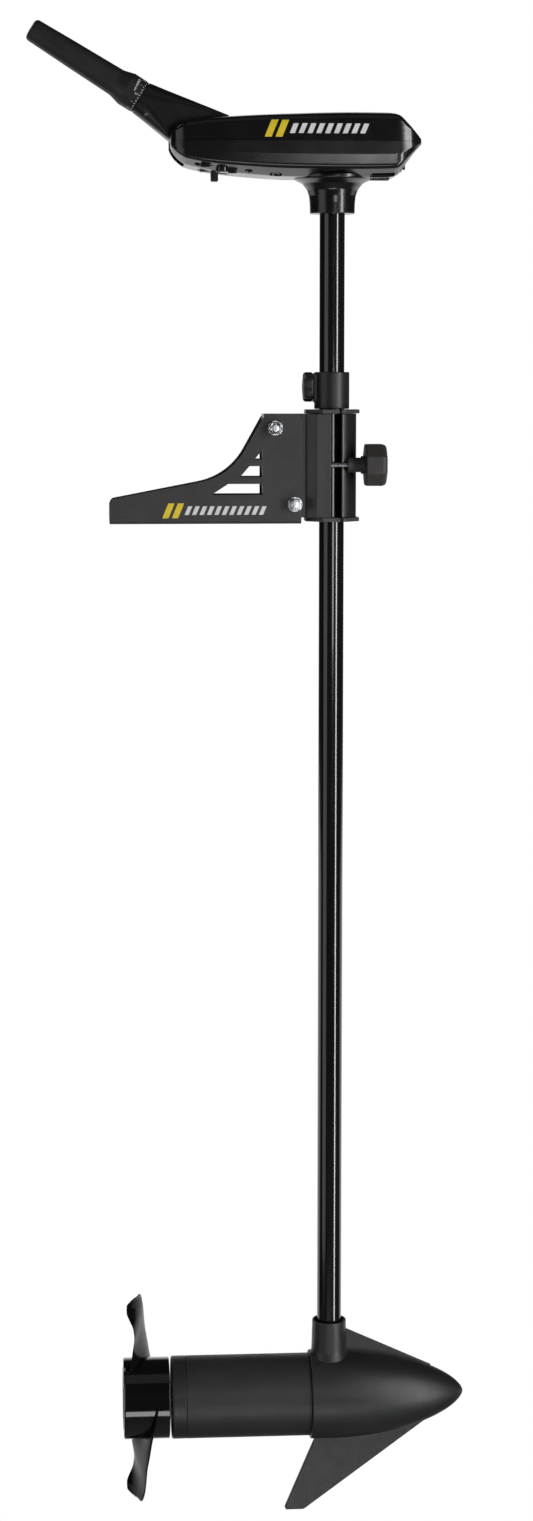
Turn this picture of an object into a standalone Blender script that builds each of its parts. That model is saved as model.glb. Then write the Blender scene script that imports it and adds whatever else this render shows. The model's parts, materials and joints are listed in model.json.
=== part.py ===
"""Hand-steered electric trolling motor on a deck bracket, in metres, +Z up.

The origin is on the underside of the bracket, at its centre. +X points from the bracket to the
shaft and on to the motor's nose, so the propeller and the tiller are on the -X side.
"""

from math import atan2, cos, hypot, pi, radians, sin, tan

import bmesh
import bpy
from mathutils import Matrix, Vector

# Driving dimensions, in metres
SHAFT_X = 0.129  # shaft axis
SHAFT_R = 0.0127
SHAFT_WALL = 0.0020
SHAFT_TOP = 0.3640
SHAFT_FOOT = -0.8780
GAP = 0.0003

BRACKET_LENGTH = 0.1930
BRACKET_HEIGHT = 0.1102
BRACKET_HALF_WIDTH = 0.0242
BRACKET_SHEET = 0.0035
PIVOT = (0.0699, 0.0961)  # tilt axis, as (x, z)
STOP = (0.0899, 0.0196)  # stop bolt, as (x, z)
BOLT_R = 0.0040

CLAMP_LOW, CLAMP_HIGH = 0.0062, 0.1102
CLAMP_R = 0.0250
CLAMP_BORE = 0.0162
NECK_HALF = 0.0202
NECK_BACK = 0.0590  # x of the neck's free edge
PINCH_Y, PINCH_Z = -0.0210, 0.0590
BUSHING_FLANGE_R = 0.0295
BUSHING_FLANGE = 0.0040

COLLAR_LOW, COLLAR_HIGH = 0.1150, 0.1520
COLLAR_R = 0.0178
COLLAR_KNOB_Z = 0.1370

HEAD_SPLIT = 0.3776
HEAD_WALL = 0.0030
PLUG = (0.0700, -0.0290)  # recess in the underside, as (x, y)
ARM_SCREW = (-0.0575, 0.4045)  # as (x, z)
SOCKET_LOW = 0.3092
CHANNEL_HALF = 0.0172
CHANNEL_END = 0.0410  # x of the channel's inner wall
TILLER_PIVOT = (0.0010, 0.3730)
TILLER_ANGLE = radians(31.4)
TILLER_JOINT = (-0.0624, 0.4221)  # where the grip meets the arm, as (x, z)
ARM_HALF = 0.0164

MOTOR_Z = -0.9211
TUBE_R = 0.0429
TUBE_WALL = 0.0030
NOSE_R = 0.0463
NOSE_BACK = 0.1080
NOSE_LENGTH = 0.1639
NOSE_STRAIGHT = 0.0209
TUBE_BACK = -0.0227
CAP_BACK = -0.0381
HUB_R = 0.0423
HUB_FRONT, HUB_BACK = -0.0404, -0.0887
PROP_R = 0.1140
ARMATURE_R = 0.0050
DRIVE_PIN_X = -0.0520
THROUGH_BOLT_Y = 0.0372
COLLAR_TOP, COLLAR_FOOT = -0.8393, -0.8950  # collar of the nosecone, which takes the shaft
SKEG_LOW = -1.0478

ROUND = 32  # sides of a large round piece
SMALL = 14  # sides of a small one

AXES = {"X": Matrix.Rotation(pi / 2, 4, "Y"), "Y": Matrix.Rotation(-pi / 2, 4, "X"), "Z": Matrix()}


def clear_scene():
    for thing in list(bpy.data.objects):
        bpy.data.objects.remove(thing, do_unlink=True)


def make_material(name, colour, roughness, metallic=0.0):
    material = bpy.data.materials.new(name)
    material.use_nodes = True
    shader = material.node_tree.nodes["Principled BSDF"]
    shader.inputs["Base Color"].default_value = (*colour, 1.0)
    shader.inputs["Roughness"].default_value = roughness
    shader.inputs["Metallic"].default_value = metallic
    return material


def make_axis(name, x, y, z, parent=None):
    """An empty on a joint's axis, which its moving pieces are parented to."""
    axis = bpy.data.objects.new(name, None)
    axis.empty_display_size = 0.03
    bpy.context.scene.collection.objects.link(axis)
    axis.parent = parent
    axis.location = Vector((x, y, z)) - (world_place(parent) if parent else Vector())
    return axis


def world_place(thing):
    place = Vector(thing.location)
    while thing.parent:
        thing = thing.parent
        place += Vector(thing.location)
    return place


def add_object(name, bm, material, axis, at=(0, 0, 0), turn=None):
    """Closes the mesh, points its faces outwards and hangs it on its axis at a place in the world."""
    bmesh.ops.remove_doubles(bm, verts=bm.verts, dist=1e-6)
    bmesh.ops.recalc_face_normals(bm, faces=bm.faces)
    mesh = bpy.data.meshes.new(name)
    bm.to_mesh(mesh)
    bm.free()
    mesh.materials.append(material)
    mesh.shade_smooth()
    mesh.set_sharp_from_angle(angle=radians(35))
    thing = bpy.data.objects.new(name, mesh)
    bpy.context.scene.collection.objects.link(thing)
    thing.parent = axis
    thing.location = Vector(at) - world_place(axis)
    if turn is not None:
        thing.rotation_euler = turn.to_euler()
    return thing


def turned(name, profile, material, axis, at=(0, 0, 0), along="Z", sides=ROUND, turn=None):
    """A turned piece: the profile is (radius, height) points, from axis to axis or round a ring."""
    bm = bmesh.new()
    rings = []
    for radius, height in profile:
        if radius == 0:
            rings.append([bm.verts.new((0, 0, height))] * sides)
            continue
        angles = [2 * pi * i / sides for i in range(sides)]
        rings.append([bm.verts.new((radius * cos(a), radius * sin(a), height)) for a in angles])
    solid = profile[0][0] == 0
    pairs = list(zip(rings, rings[1:])) if solid else list(zip(rings, rings[1:] + rings[:1]))
    for low, high in pairs:
        for i in range(sides):
            j = (i + 1) % sides
            corners = list(dict.fromkeys((low[i], low[j], high[j], high[i])))
            if len(corners) > 2:
                bm.faces.new(corners)
    return add_object(name, bm, material, axis, at, turn or AXES[along])


def disc(name, radius, low, high, material, axis, at=(0, 0, 0), along="Z", sides=SMALL, turn=None):
    profile = [(0, low), (radius, low), (radius, high), (0, high)]
    return turned(name, profile, material, axis, at, along, sides, turn)


def ring(name, inner, outer, low, high, material, axis, at=(0, 0, 0), along="Z", sides=ROUND):
    profile = [(inner, low), (outer, low), (outer, high), (inner, high)]
    return turned(name, profile, material, axis, at, along, sides)


def extruded(name, outline, low, high, material, axis, at=(0, 0, 0), along="Z", bevel=0.0):
    """An outline raised from low to high. Along Y the outline is (x, z), along X (y, z), along Z (x, y)."""
    place = {
        "X": lambda u, v, h: (h, u, v),
        "Y": lambda u, v, h: (u, h, v),
        "Z": lambda u, v, h: (u, v, h),
    }[along]
    bm = bmesh.new()
    ends = [[bm.verts.new(place(u, v, h)) for u, v in outline] for h in (low, high)]
    bm.faces.new(ends[0])
    bm.faces.new(ends[1][::-1])
    for i in range(len(outline)):
        j = (i + 1) % len(outline)
        bm.faces.new((ends[0][i], ends[0][j], ends[1][j], ends[1][i]))
    bmesh.ops.recalc_face_normals(bm, faces=bm.faces)
    if bevel:
        edges = [e for e in bm.edges if e.calc_face_angle(0) > radians(30)]
        bmesh.ops.bevel(bm, geom=edges, offset=bevel, segments=1, affect="EDGES")
    return add_object(name, bm, material, axis, at)


def box(name, low, high, material, axis, at=(0, 0, 0), bevel=0.0):
    outline = [(low[0], low[1]), (high[0], low[1]), (high[0], high[1]), (low[0], high[1])]
    return extruded(name, outline, low[2], high[2], material, axis, at, "Z", bevel)


def lofted(name, sections, material, axis, at=(0, 0, 0)):
    """A skin over sections of equally many points, closed flat at both ends."""
    bm = bmesh.new()
    rows = [[bm.verts.new(point) for point in section] for section in sections]
    bm.faces.new(rows[0])
    bm.faces.new(rows[-1][::-1])
    for low, high in zip(rows, rows[1:]):
        for i in range(len(low)):
            j = (i + 1) % len(low)
            bm.faces.new((low[i], low[j], high[j], high[i]))
    return add_object(name, bm, material, axis, at)


def arc(centre, radius, start, stop, steps):
    """Points on a circle from one angle to another, in degrees."""
    angles = [radians(start + (stop - start) * i / steps) for i in range(steps + 1)]
    return [(centre[0] + radius * cos(a), centre[1] + radius * sin(a)) for a in angles]


def rounded(corners, steps=4):
    """An outline of (x, y, radius) corners, each radius turned into an arc."""
    points = []
    for i, (x, y, radius) in enumerate(corners):
        here = Vector((x, y))
        if radius == 0:
            points.append((x, y))
            continue
        before = (Vector(corners[i - 1][:2]) - here).normalized()
        after = (Vector(corners[(i + 1) % len(corners)][:2]) - here).normalized()
        half = before.angle(after) / 2
        centre = here + (before + after).normalized() * radius / sin(half)
        first = here + before * radius / tan(half) - centre
        last = here + after * radius / tan(half) - centre
        sweep = first.angle_signed(last)
        for step in range(steps + 1):
            turn = Matrix.Rotation(-sweep * step / steps, 2)
            points.append(tuple(centre + turn @ first))
    return points


def combine(target, operation, *others):
    """Keeps a Boolean modifier on the target for each helper, and leaves the helpers out of the part."""
    for other in others:
        modifier = target.modifiers.new(other.name, "BOOLEAN")
        modifier.operation = operation
        modifier.solver = "EXACT"
        modifier.object = other
        other.hide_render = True
        other.display_type = "WIRE"
    return target


def cut(target, *cutters):
    return combine(target, "DIFFERENCE", *cutters)


def join(target, *pieces):
    return combine(target, "UNION", *pieces)


def hexagon(across_flats):
    return arc((0, 0), across_flats / 2 / cos(pi / 6), 0, 300, 5)


def hex_nut(name, across, bore, low, high, material, axis, at, along):
    nut = extruded(name, hexagon(across), low, high, material, axis, at, along)
    hole = disc(name + "_bore", bore, low - 0.002, high + 0.002, material, axis, at, along)
    return cut(nut, hole)


def hex_bolt(name, across, radius, head, length, material, axis, at, along):
    """A bolt whose head spans 0 to head, with its shank running on to length."""
    bolt = extruded(name, hexagon(across), 0, head, material, axis, at, along)
    low, high = sorted((head / 2, length))
    return join(bolt, disc(name + "_shank", radius, low, high, material, axis, at, along, 16))


# Bracket

def build_bracket(steel, zinc, axis):
    half_length = BRACKET_LENGTH / 2
    outline = rounded(
        [
            (-half_length, 0, 0),
            (-half_length + 0.0017, 0.0245, 0.008),
            (0.0251, 0.0478, 0.067),
            (0.0600, BRACKET_HEIGHT, 0.008),
            (half_length, BRACKET_HEIGHT, 0.008),
            (half_length, 0, 0),
        ],
        6,
    )
    width = BRACKET_HALF_WIDTH
    inner = width - BRACKET_SHEET
    bracket = extruded("mount_bracket", outline, -width, width, steel, axis, along="Y")
    trim = 0.003  # outer bend of the sheet along the two lower edges
    for side in (-1, 1):
        wedge = [(side * (width + 0.001), -0.001), (side * (width - trim), -0.001),
                 (side * (width - 0.0009), 0.0009), (side * (width + 0.001), trim)]
        low, high = -half_length - 0.01, half_length + 0.01
        cut(bracket, extruded(f"bend_cut_{side + 1}", wedge, low, high, steel, axis, along="X"))
    hollow = box("channel_cut", (-0.2, -inner, BRACKET_SHEET), (0.2, inner, 0.2), steel, axis)
    cut(bracket, hollow)
    right = 0.0565
    windows = [
        [(right, 0.0742), (right, 0.0652), (0.0517, 0.0652)],
        [(right, 0.0572), (right, 0.0477), (0.0381, 0.0477), (0.0472, 0.0572)],
        [(right, 0.0392), (right, 0.0299), (0.0104, 0.0299), (0.0267, 0.0392)],
    ]
    for number, window in enumerate(windows):
        cut(bracket, extruded(f"window_cut_{number}", window, -0.05, 0.05, steel, axis, along="Y"))
    for number, (x, z) in enumerate((PIVOT, STOP)):
        radius = BOLT_R + 2 * GAP
        cut(bracket, disc(f"bolt_cut_{number}", radius, -0.05, 0.05, steel, axis, (x, 0, z), "Y"))
    for number, (x, y) in enumerate(deck_holes()):
        cut(bracket, disc(f"deck_cut_{number}", 0.0036, -0.01, 0.01, steel, axis, (x, y, 0)))
    for name, (x, z) in (("pivot", PIVOT), ("stop", STOP)):
        rear = (x, width + GAP, z)
        front = (x, -width - 0.0016 - 2 * GAP, z)
        hex_bolt(f"{name}_bolt", 0.013, BOLT_R, 0.0055, -2 * width - 0.0115, zinc, axis, rear, "Y")
        ring(f"{name}_washer", BOLT_R + GAP, 0.0085, 0, 0.0016, zinc, axis, front, "Y", 24)
        nut_at = (x, front[1] - GAP, z)
        hex_nut(f"{name}_nut", 0.013, BOLT_R + GAP, -0.0080, 0, zinc, axis, nut_at, "Y")
    sleeve_half = inner - GAP
    ring("stop_sleeve", BOLT_R + GAP, 0.0060, -sleeve_half, sleeve_half, zinc, axis,
         (STOP[0], 0, STOP[1]), "Y", 24)


def deck_holes():
    return [(x, y) for x in (-0.078, 0.030) for y in (-0.0115, 0.0115)]


# Clamp

def clamp_section():
    """The clamp's section about the shaft axis: a split barrel, its front lug and its neck."""
    slot_left, slot_right, lug_front = 0.0004, 0.0081, -0.0270
    outer = atan2(-(CLAMP_R**2 - slot_right**2) ** 0.5, slot_right)
    inner_right = atan2(-(CLAMP_BORE**2 - slot_right**2) ** 0.5, slot_right)
    neck_angle = 180 - atan2(NECK_HALF, (CLAMP_R**2 - NECK_HALF**2) ** 0.5) * 180 / pi
    back = NECK_BACK - SHAFT_X
    points = arc((0, 0), CLAMP_R, outer * 180 / pi, neck_angle, 20)
    points += [(back, NECK_HALF), (back, -NECK_HALF), (-0.0280, -NECK_HALF)]
    points += [(-0.0150, lug_front), (slot_left, lug_front)]
    points += arc((0, 0), CLAMP_BORE, -88.6, inner_right * 180 / pi - 360, 24)
    return points


def build_clamp(painted, nylon, zinc, axis):
    at, pinch = (SHAFT_X, 0, 0), (SHAFT_X, PINCH_Y, PINCH_Z)
    clamp = extruded("clamp", clamp_section(), CLAMP_LOW, CLAMP_HIGH, painted, axis, at)
    radius = hypot(STOP[0] - PIVOT[0], STOP[1] - PIVOT[1])
    start = atan2(STOP[1] - PIVOT[1], STOP[0] - PIVOT[0]) * 180 / pi
    width = 0.0066
    slot = arc(PIVOT, radius - width, start, -115, 8) + arc(PIVOT, radius + width, -115, start, 8)
    cut(
        clamp,
        extruded("stop_slot_cut", slot, -0.05, 0.05, painted, axis, along="Y"),
        disc("stop_end_cut", width, -0.05, 0.05, painted, axis, (STOP[0], 0, STOP[1]), "Y"),
        disc("pivot_cut", 0.0066, -0.05, 0.05, painted, axis, (PIVOT[0], 0, PIVOT[1]), "Y"),
        disc("pinch_cut", 0.0034, -0.030, 0.030, painted, axis, pinch, "X", 12),
        disc("pinch_seat_cut", 0.0084, 0.0142, 0.040, painted, axis, pinch, "X", 24),
        box("pinch_head_cut", (-0.040, -0.040, -0.0065), (-0.0100, 0.0052, 0.0065), painted, axis, pinch),
    )
    half = NECK_HALF - GAP
    pivot_at = (PIVOT[0], 0, PIVOT[1])
    ring("pivot_bushing", BOLT_R + GAP, 0.0063, -half, half, nylon, axis, pivot_at, "Y", 24)
    bolt_at = (SHAFT_X - 0.0103, PINCH_Y, PINCH_Z)
    bolt = box("tension_bolt", (-0.0040, -0.0050, -0.0050), (0, 0.0050, 0.0050), zinc, axis, bolt_at)
    join(bolt, disc("tension_shank", 0.0030, -0.002, 0.0480, zinc, axis, bolt_at, "X", 12))
    for name, face, way in (("upper_bushing", CLAMP_HIGH, 1), ("lower_bushing", CLAMP_LOW, -1)):
        bore, sleeve = SHAFT_R + GAP, CLAMP_BORE - GAP
        profile = [(bore, -0.030), (sleeve, -0.030), (sleeve, BUSHING_FLANGE / 2),
                   (bore, BUSHING_FLANGE / 2)]
        flange_at = (SHAFT_X, 0, face + way * GAP)
        turn = Matrix() if way > 0 else Matrix.Rotation(pi, 4, "X")
        bushing = turned(name, profile, nylon, axis, flange_at, sides=24, turn=turn)
        corners = arc((0, 0), BUSHING_FLANGE_R, 22.5, 337.5, 7)
        low, high = sorted((0, way * BUSHING_FLANGE))
        flange = extruded(name + "_flange", corners, low, high, nylon, axis, flange_at)
        wide_bore = disc(name + "_flange_bore", bore + 0.001, -0.02, 0.02, nylon, axis, flange_at, sides=24)
        cut(flange, wide_bore)
        join(bushing, flange)
        split = box(name + "_split", (0.0058, -0.04, -0.04), (0.0078, 0, 0.04), nylon, axis, flange_at)
        cut(bushing, split)


def build_tension_knob(rubber, axis):
    at = (SHAFT_X, PINCH_Y, PINCH_Z)
    face, head, tip = 0.0146, 0.0340, 0.0556
    hub = [(0.0034, face), (0.0075, face), (0.0075, 0.0305), (0.0090, 0.0305), (0.0090, head + 0.003),
           (0.0034, head + 0.003)]
    knob = turned("tension_knob", hub, rubber, axis, at, "X", 24)
    rows = []
    for height, radius in ((head, 0.0218), (head + 0.001, 0.0228), (0.0465, 0.0226), (0.0515, 0.0205),
                           (0.0545, 0.0165), (tip, 0.0100)):
        corners = [(radius * cos(a) * flat, radius * sin(a) * flat)
                   for a, flat in knob_angles(8, 3, 0.955)]
        rows.append([(height, u, v) for u, v in corners])
    head_piece = lofted("tension_knob_head", rows, rubber, axis, at)
    join(knob, head_piece)
    cut(knob, disc("tension_knob_bore", 0.0034, 0.010, 0.0400, rubber, axis, at, "X", 24))


def knob_angles(lobes, steps, dip):
    """(angle, share of the radius) pairs round a knob whose grip is pulled in between its lobes."""
    count = lobes * steps
    share = [1 - (1 - dip) * (0.5 - 0.5 * cos(2 * pi * i / steps)) for i in range(count)]
    return [(2 * pi * i / count, share[i]) for i in range(count)]


# Depth collar

def build_collar(plastic, brass, axis):
    at = (SHAFT_X, 0, 0)
    bore, edge = SHAFT_R + GAP, 0.0012
    profile = [(bore, COLLAR_LOW), (COLLAR_R - edge, COLLAR_LOW), (COLLAR_R, COLLAR_LOW + edge),
               (COLLAR_R, COLLAR_HIGH - edge), (COLLAR_R - edge, COLLAR_HIGH), (bore, COLLAR_HIGH)]
    collar = turned("depth_collar", profile, plastic, axis, at)
    knob_at = (SHAFT_X, 0, COLLAR_KNOB_Z)
    boss = disc("collar_boss", 0.0085, -0.0190, -0.0145, plastic, axis, knob_at, "X", 24)
    join(collar, boss)
    cut(collar, disc("collar_thread_cut", 0.0050, -0.030, 0, plastic, axis, knob_at, "X"))
    ring("collar_insert", 0.0033, 0.0047, -0.0186, -0.0142, brass, axis, knob_at, "X", SMALL)


def build_collar_knob(plastic, zinc, axis):
    at = (SHAFT_X, 0, COLLAR_KNOB_Z)
    face, tip = -0.0194, -0.0292
    rows = []
    for height, radius in ((face, 0.0138), (face - 0.0015, 0.0152), (-0.0270, 0.0152), (tip, 0.0128)):
        rows.append([(height, radius * cos(a) * flat, radius * sin(a) * flat)
                     for a, flat in knob_angles(5, 6, 0.80)])
    knob = lofted("collar_knob", rows, plastic, axis, at)
    cut(knob, disc("collar_knob_bore", 0.0033, -0.0262, -0.010, plastic, axis, at, "X"))
    disc("collar_screw", 0.0030, -0.0259, -0.0131, zinc, axis, at, "X", 16)


# Control head

HEAD_STATIONS = (
    # x from the shaft axis, lowest z, top z, half width
    (-0.1632, 0.3720, 0.3830, 0.0330),
    (-0.1615, 0.3680, 0.3875, 0.0383),
    (-0.1565, 0.3615, 0.3925, 0.0430),
    (-0.1470, 0.3550, 0.3975, 0.0462),
    (-0.1070, 0.3478, 0.4022, 0.0490),
    (-0.0400, 0.3434, 0.4055, 0.0500),
    (0.0200, 0.3430, 0.4070, 0.0500),
    (0.0580, 0.3440, 0.4066, 0.0496),
    (0.0630, 0.3462, 0.4050, 0.0492),
    (0.0735, 0.3600, 0.3945, 0.0470),
    (0.0805, 0.3690, 0.3860, 0.0435),
    (0.0848, 0.3740, 0.3805, 0.0400),
)
HEAD_SIDE_POINTS = 9


def head_section(x, low, high, half, inset):
    """One section of the head in Y and Z: a keel, sloping chines, upright sides and a crowned top."""
    low, high, half = low + inset, high - inset, half - inset
    split = HEAD_SPLIT
    side = [
        (half * 0.30, low),
        (half * 0.62, low + (split - low) * 0.06),
        (half * 0.955, low + (split - low) * 0.24),
        (half * 0.985, low + (split - low) * 0.42),
        (half, split),
        (half * 0.985, split + (high - split) * 0.45),
        (half * 0.90, split + (high - split) * 0.80),
        (half * 0.72, high - (high - split) * 0.05),
        (half * 0.30, high),
    ]
    return [(x, y, z) for y, z in side] + [(x, -y, z) for y, z in reversed(side)]


def head_body(name, inset, material, axis):
    stations = HEAD_STATIONS
    rows = [head_section(x, low, high, half, inset) for x, low, high, half in stations]
    if inset:
        rows = rows[3:-2]
    return lofted(name, rows, material, axis, (SHAFT_X, 0, 0))


def head_surface(x, y):
    """The z of the head's underside and of its top above a place in the world."""
    x -= SHAFT_X
    for before, after in zip(HEAD_STATIONS, HEAD_STATIONS[1:]):
        if before[0] <= x <= after[0]:
            share = (x - before[0]) / (after[0] - before[0])
            low, high, half = (a + (b - a) * share for a, b in zip(before[1:], after[1:]))
    side = head_section(x, low, high, half, 0)[:HEAD_SIDE_POINTS]
    found = []
    for (_, y1, z1), (_, y2, z2) in zip(side, side[1:]):
        if min(y1, y2) <= abs(y) < max(y1, y2):
            found.append(z1 + (z2 - z1) * (abs(y) - y1) / (y2 - y1))
    return min(found), max(found)


def cover_screws():
    """Places of the screws that hold the cover, as (x, y)."""
    return [(x, side * y) for x, y in ((-0.0070, 0.0330), (0.0430, 0.0335), (0.1950, 0.0150))
            for side in (-1, 1)]


def head_shell(name, plastic, axis):
    """The whole head as a thin shell, with solid walls about the tiller's channel."""
    shell = head_body(name, 0, plastic, axis)
    cavity = head_body(name + "_cavity", HEAD_WALL, plastic, axis)
    outer = CHANNEL_HALF + HEAD_WALL
    wall = box(name + "_walls", (-0.1, -outer, 0.3), (CHANNEL_END + HEAD_WALL, outer, 0.5), plastic, axis)
    return cut(shell, cut(cavity, wall))


def build_housing(plastic, axis):
    housing = head_shell("head_housing", plastic, axis)
    socket = [(0, SOCKET_LOW), (0.0219, SOCKET_LOW), (0.0222, 0.3200), (0.0243, 0.3270),
              (0.0270, 0.3325), (0.0315, 0.3385), (0.0360, 0.3425), (0.0360, 0.3475), (0.0200, 0.3560),
              (0.0200, SHAFT_TOP + 0.003), (0, SHAFT_TOP + 0.003)]
    join(housing, turned("socket", socket, plastic, axis, (SHAFT_X, 0, 0)))
    ways = []
    for number, (x, y) in enumerate(cover_screws()):
        at = (x, y, 0)
        floor = head_surface(x, y)[0]
        post = disc(f"screw_post_{number}", 0.0055, floor + 0.0018, HEAD_SPLIT + 0.004, plastic, axis, at)
        join(housing, post)
        way = [(0, 0.33), (0.0039, 0.33), (0.0039, floor + 0.0042), (0.0021, floor + 0.0042),
               (0.0021, 0.40), (0, 0.40)]
        ways.append(turned(f"screw_way_{number}", way, plastic, axis, at, sides=12))
    plug_floor = head_surface(*PLUG)[0] + 0.0018
    cut(
        housing,
        box("housing_split", (-0.2, -0.1, HEAD_SPLIT - GAP / 2), (0.3, 0.1, 0.5), plastic, axis),
        box("housing_channel", (-0.1, -CHANNEL_HALF, 0.3563), (CHANNEL_END, CHANNEL_HALF, 0.5), plastic,
            axis),
        disc("socket_bore", SHAFT_R + GAP, 0.2, SHAFT_TOP + GAP, plastic, axis, (SHAFT_X, 0, 0), sides=24),
        disc("lead_hole", 0.0090, 0.2, 0.5, plastic, axis, (SHAFT_X, 0, 0), sides=24),
        disc("tiller_pin_hole", 0.0041, -0.040, 0.040, plastic, axis, (TILLER_PIVOT[0], 0, TILLER_PIVOT[1]),
             "Y"),
        box("lever_slot", (-0.0060, -0.0070, 0.33), (0.0240, 0.0070, 0.37), plastic, axis),
        box("gland_slot", (0.1660, -0.0080, 0.33), (0.1860, 0.0080, 0.36), plastic, axis),
        box("near_vent", (0.1640, -0.0350, 0.33), (0.1885, -0.0220, 0.36), plastic, axis),
        box("far_vent", (0.1640, 0.0220, 0.33), (0.1885, 0.0350, 0.36), plastic, axis),
        disc("plug_recess", 0.0062, 0.33, plug_floor, plastic, axis, (*PLUG, 0), sides=24),
        *ways,
    )


def build_cover(plastic, axis):
    cover = head_shell("head_cover", plastic, axis)
    threads = []
    for number, (x, y) in enumerate(cover_screws()):
        at = (x, y, 0)
        roof = head_surface(x, y)[1]
        post = disc(f"cover_post_{number}", 0.0055, HEAD_SPLIT - 0.004, roof - 0.0018, plastic, axis, at)
        join(cover, post)
        threads.append(disc(f"cover_thread_{number}", 0.0018, 0.3, 0.3925, plastic, axis, at, sides=12))
    cut(
        cover,
        box("cover_split", (-0.2, -0.1, 0.3), (0.3, 0.1, HEAD_SPLIT + GAP / 2), plastic, axis),
        box("cover_channel", (-0.1, -CHANNEL_HALF, 0.3), (CHANNEL_END, CHANNEL_HALF, 0.5), plastic, axis),
        *threads,
    )


def build_head(plastic, zinc, board_green, rubber, axis):
    build_housing(plastic, axis)
    build_cover(plastic, axis)
    for number, (x, y) in enumerate(cover_screws()):
        floor = head_surface(x, y)[0]
        head, neck = floor + 0.0016, floor + 0.0039
        profile = [(0, head), (0.0036, head), (0.0036, neck), (0.0015, neck), (0.0015, 0.3900), (0, 0.3900)]
        turned(f"cover_screw_{number + 1}", profile, zinc, axis, (x, y, 0), sides=12)
    box("control_board", (0.1560, -0.0220, 0.3640), (0.1740, 0.0220, 0.3656), board_green, axis)
    disc("tiller_pin", 0.0038, -0.0300, 0.0300, zinc, axis, (TILLER_PIVOT[0], 0, TILLER_PIVOT[1]), "Y", 24)
    gland = box("lead_gland", (0.1664, -0.0076, 0.3428), (0.1856, 0.0076, 0.3510), rubber, axis)
    cut(gland, box("gland_mouth", (0.1700, -0.0040, 0.33), (0.1820, 0.0040, 0.36), rubber, axis))


# Tiller

def arm_point(forward, up):
    """A point of the arm in X and Z, measured from the grip joint along and across the grip's axis."""
    x = TILLER_JOINT[0] + forward * cos(TILLER_ANGLE) + up * sin(TILLER_ANGLE)
    z = TILLER_JOINT[1] - forward * sin(TILLER_ANGLE) + up * cos(TILLER_ANGLE)
    return x, z


def build_arm(plastic, zinc, black, axis):
    top, low = arm_point(0, 0.0168), arm_point(0, -0.0168)
    px, pz = TILLER_PIVOT
    outline = [top, low, (-0.0337, 0.3796), (-0.0240, 0.3722)]
    outline += arc((px, pz), 0.0150, 232, 330, 6)
    outline += [(px + 0.0200, pz + 0.0080), (px + 0.0240, pz + 0.0262)]
    arm = extruded("tiller_arm", outline, -ARM_HALF, ARM_HALF, plastic, axis, along="Y", bevel=0.0030)
    toward_grip, screw_at = grip_turn(), (ARM_SCREW[0], 0, ARM_SCREW[1])
    at = (TILLER_JOINT[0], 0, TILLER_JOINT[1])
    cut(
        arm,
        disc("arm_pin_hole", 0.0042, -0.03, 0.03, plastic, axis, (px, 0, pz), "Y", 24),
        disc("switch_bore", 0.0125, -0.0450, 0.02, plastic, axis, at, sides=24, turn=toward_grip),
        disc("arm_screw_hole", 0.0022, -0.020, -0.0100, plastic, axis, screw_at, "Y", 12),
    )
    profile = [(0.0034, -0.0440), (0.0120, -0.0440), (0.0120, -0.0260), (0.0034, -0.0260)]
    turned("speed_switch", profile, black, axis, at, sides=24, turn=toward_grip)
    disc("arm_screw", 0.0019, -0.0162, -0.0110, zinc, axis, screw_at, "Y", 12)


def grip_turn():
    """Turns +Z to the grip's axis, which runs up and back from the arm."""
    return Matrix.Rotation(-(pi / 2 - TILLER_ANGLE), 4, "Y")


def build_grip(plastic, steel, axis):
    at = (TILLER_JOINT[0], 0, TILLER_JOINT[1])
    profile = [(0.0034, 0.0004), (0.0165, 0.0004), (0.0168, 0.0030), (0.0168, 0.0165), (0.0160, 0.0205),
               (0.0136, 0.0270), (0.0126, 0.0800), (0.0113, 0.1225), (0.0102, 0.1262), (0.0080, 0.1272),
               (0.0034, 0.1272)]
    turned("tiller_grip", profile, plastic, axis, at, sides=32, turn=grip_turn())
    disc("throttle_shaft", 0.0031, -0.0430, 0.1262, steel, axis, at, sides=16, turn=grip_turn())


def build_lever(plastic, axis):
    x, z = 0.0090, 0.3500
    outline = [(x - 0.0130, z), (x - 0.0130, z + 0.0030), (x + 0.0130, z + 0.0030), (x + 0.0130, z),
               (x + 0.0060, z), (x + 0.0050, z - 0.0095), (x - 0.0010, z - 0.0095), (x - 0.0020, z)]
    extruded("tilt_lever", outline, -0.0060, 0.0060, plastic, axis, along="Y")


# Shaft and motor

def build_shaft(painted, red, black, axis):
    at = (SHAFT_X, 0, 0)
    ring("shaft_tube", SHAFT_R - SHAFT_WALL, SHAFT_R, SHAFT_FOOT, SHAFT_TOP, painted, axis, at)
    for name, y, material in (("positive_lead", -0.0040, red), ("negative_lead", 0.0040, black)):
        disc(name, 0.0022, -0.8890, 0.3725, material, axis, (SHAFT_X, y, 0), sides=8)


def nose_profile(steps):
    """The nose from its back edge to its tip, as (radius, distance from the back edge)."""
    points = [(NOSE_R - 0.0015, 0), (NOSE_R, 0.0015), (NOSE_R, NOSE_STRAIGHT)]
    taper = NOSE_LENGTH - NOSE_STRAIGHT
    for i in range(1, steps):
        t = sin(pi / 2 * i / steps)
        points.append((NOSE_R * (1 - t**2) ** 0.62, NOSE_STRAIGHT + taper * t))
    return points + [(0, NOSE_LENGTH)]


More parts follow.
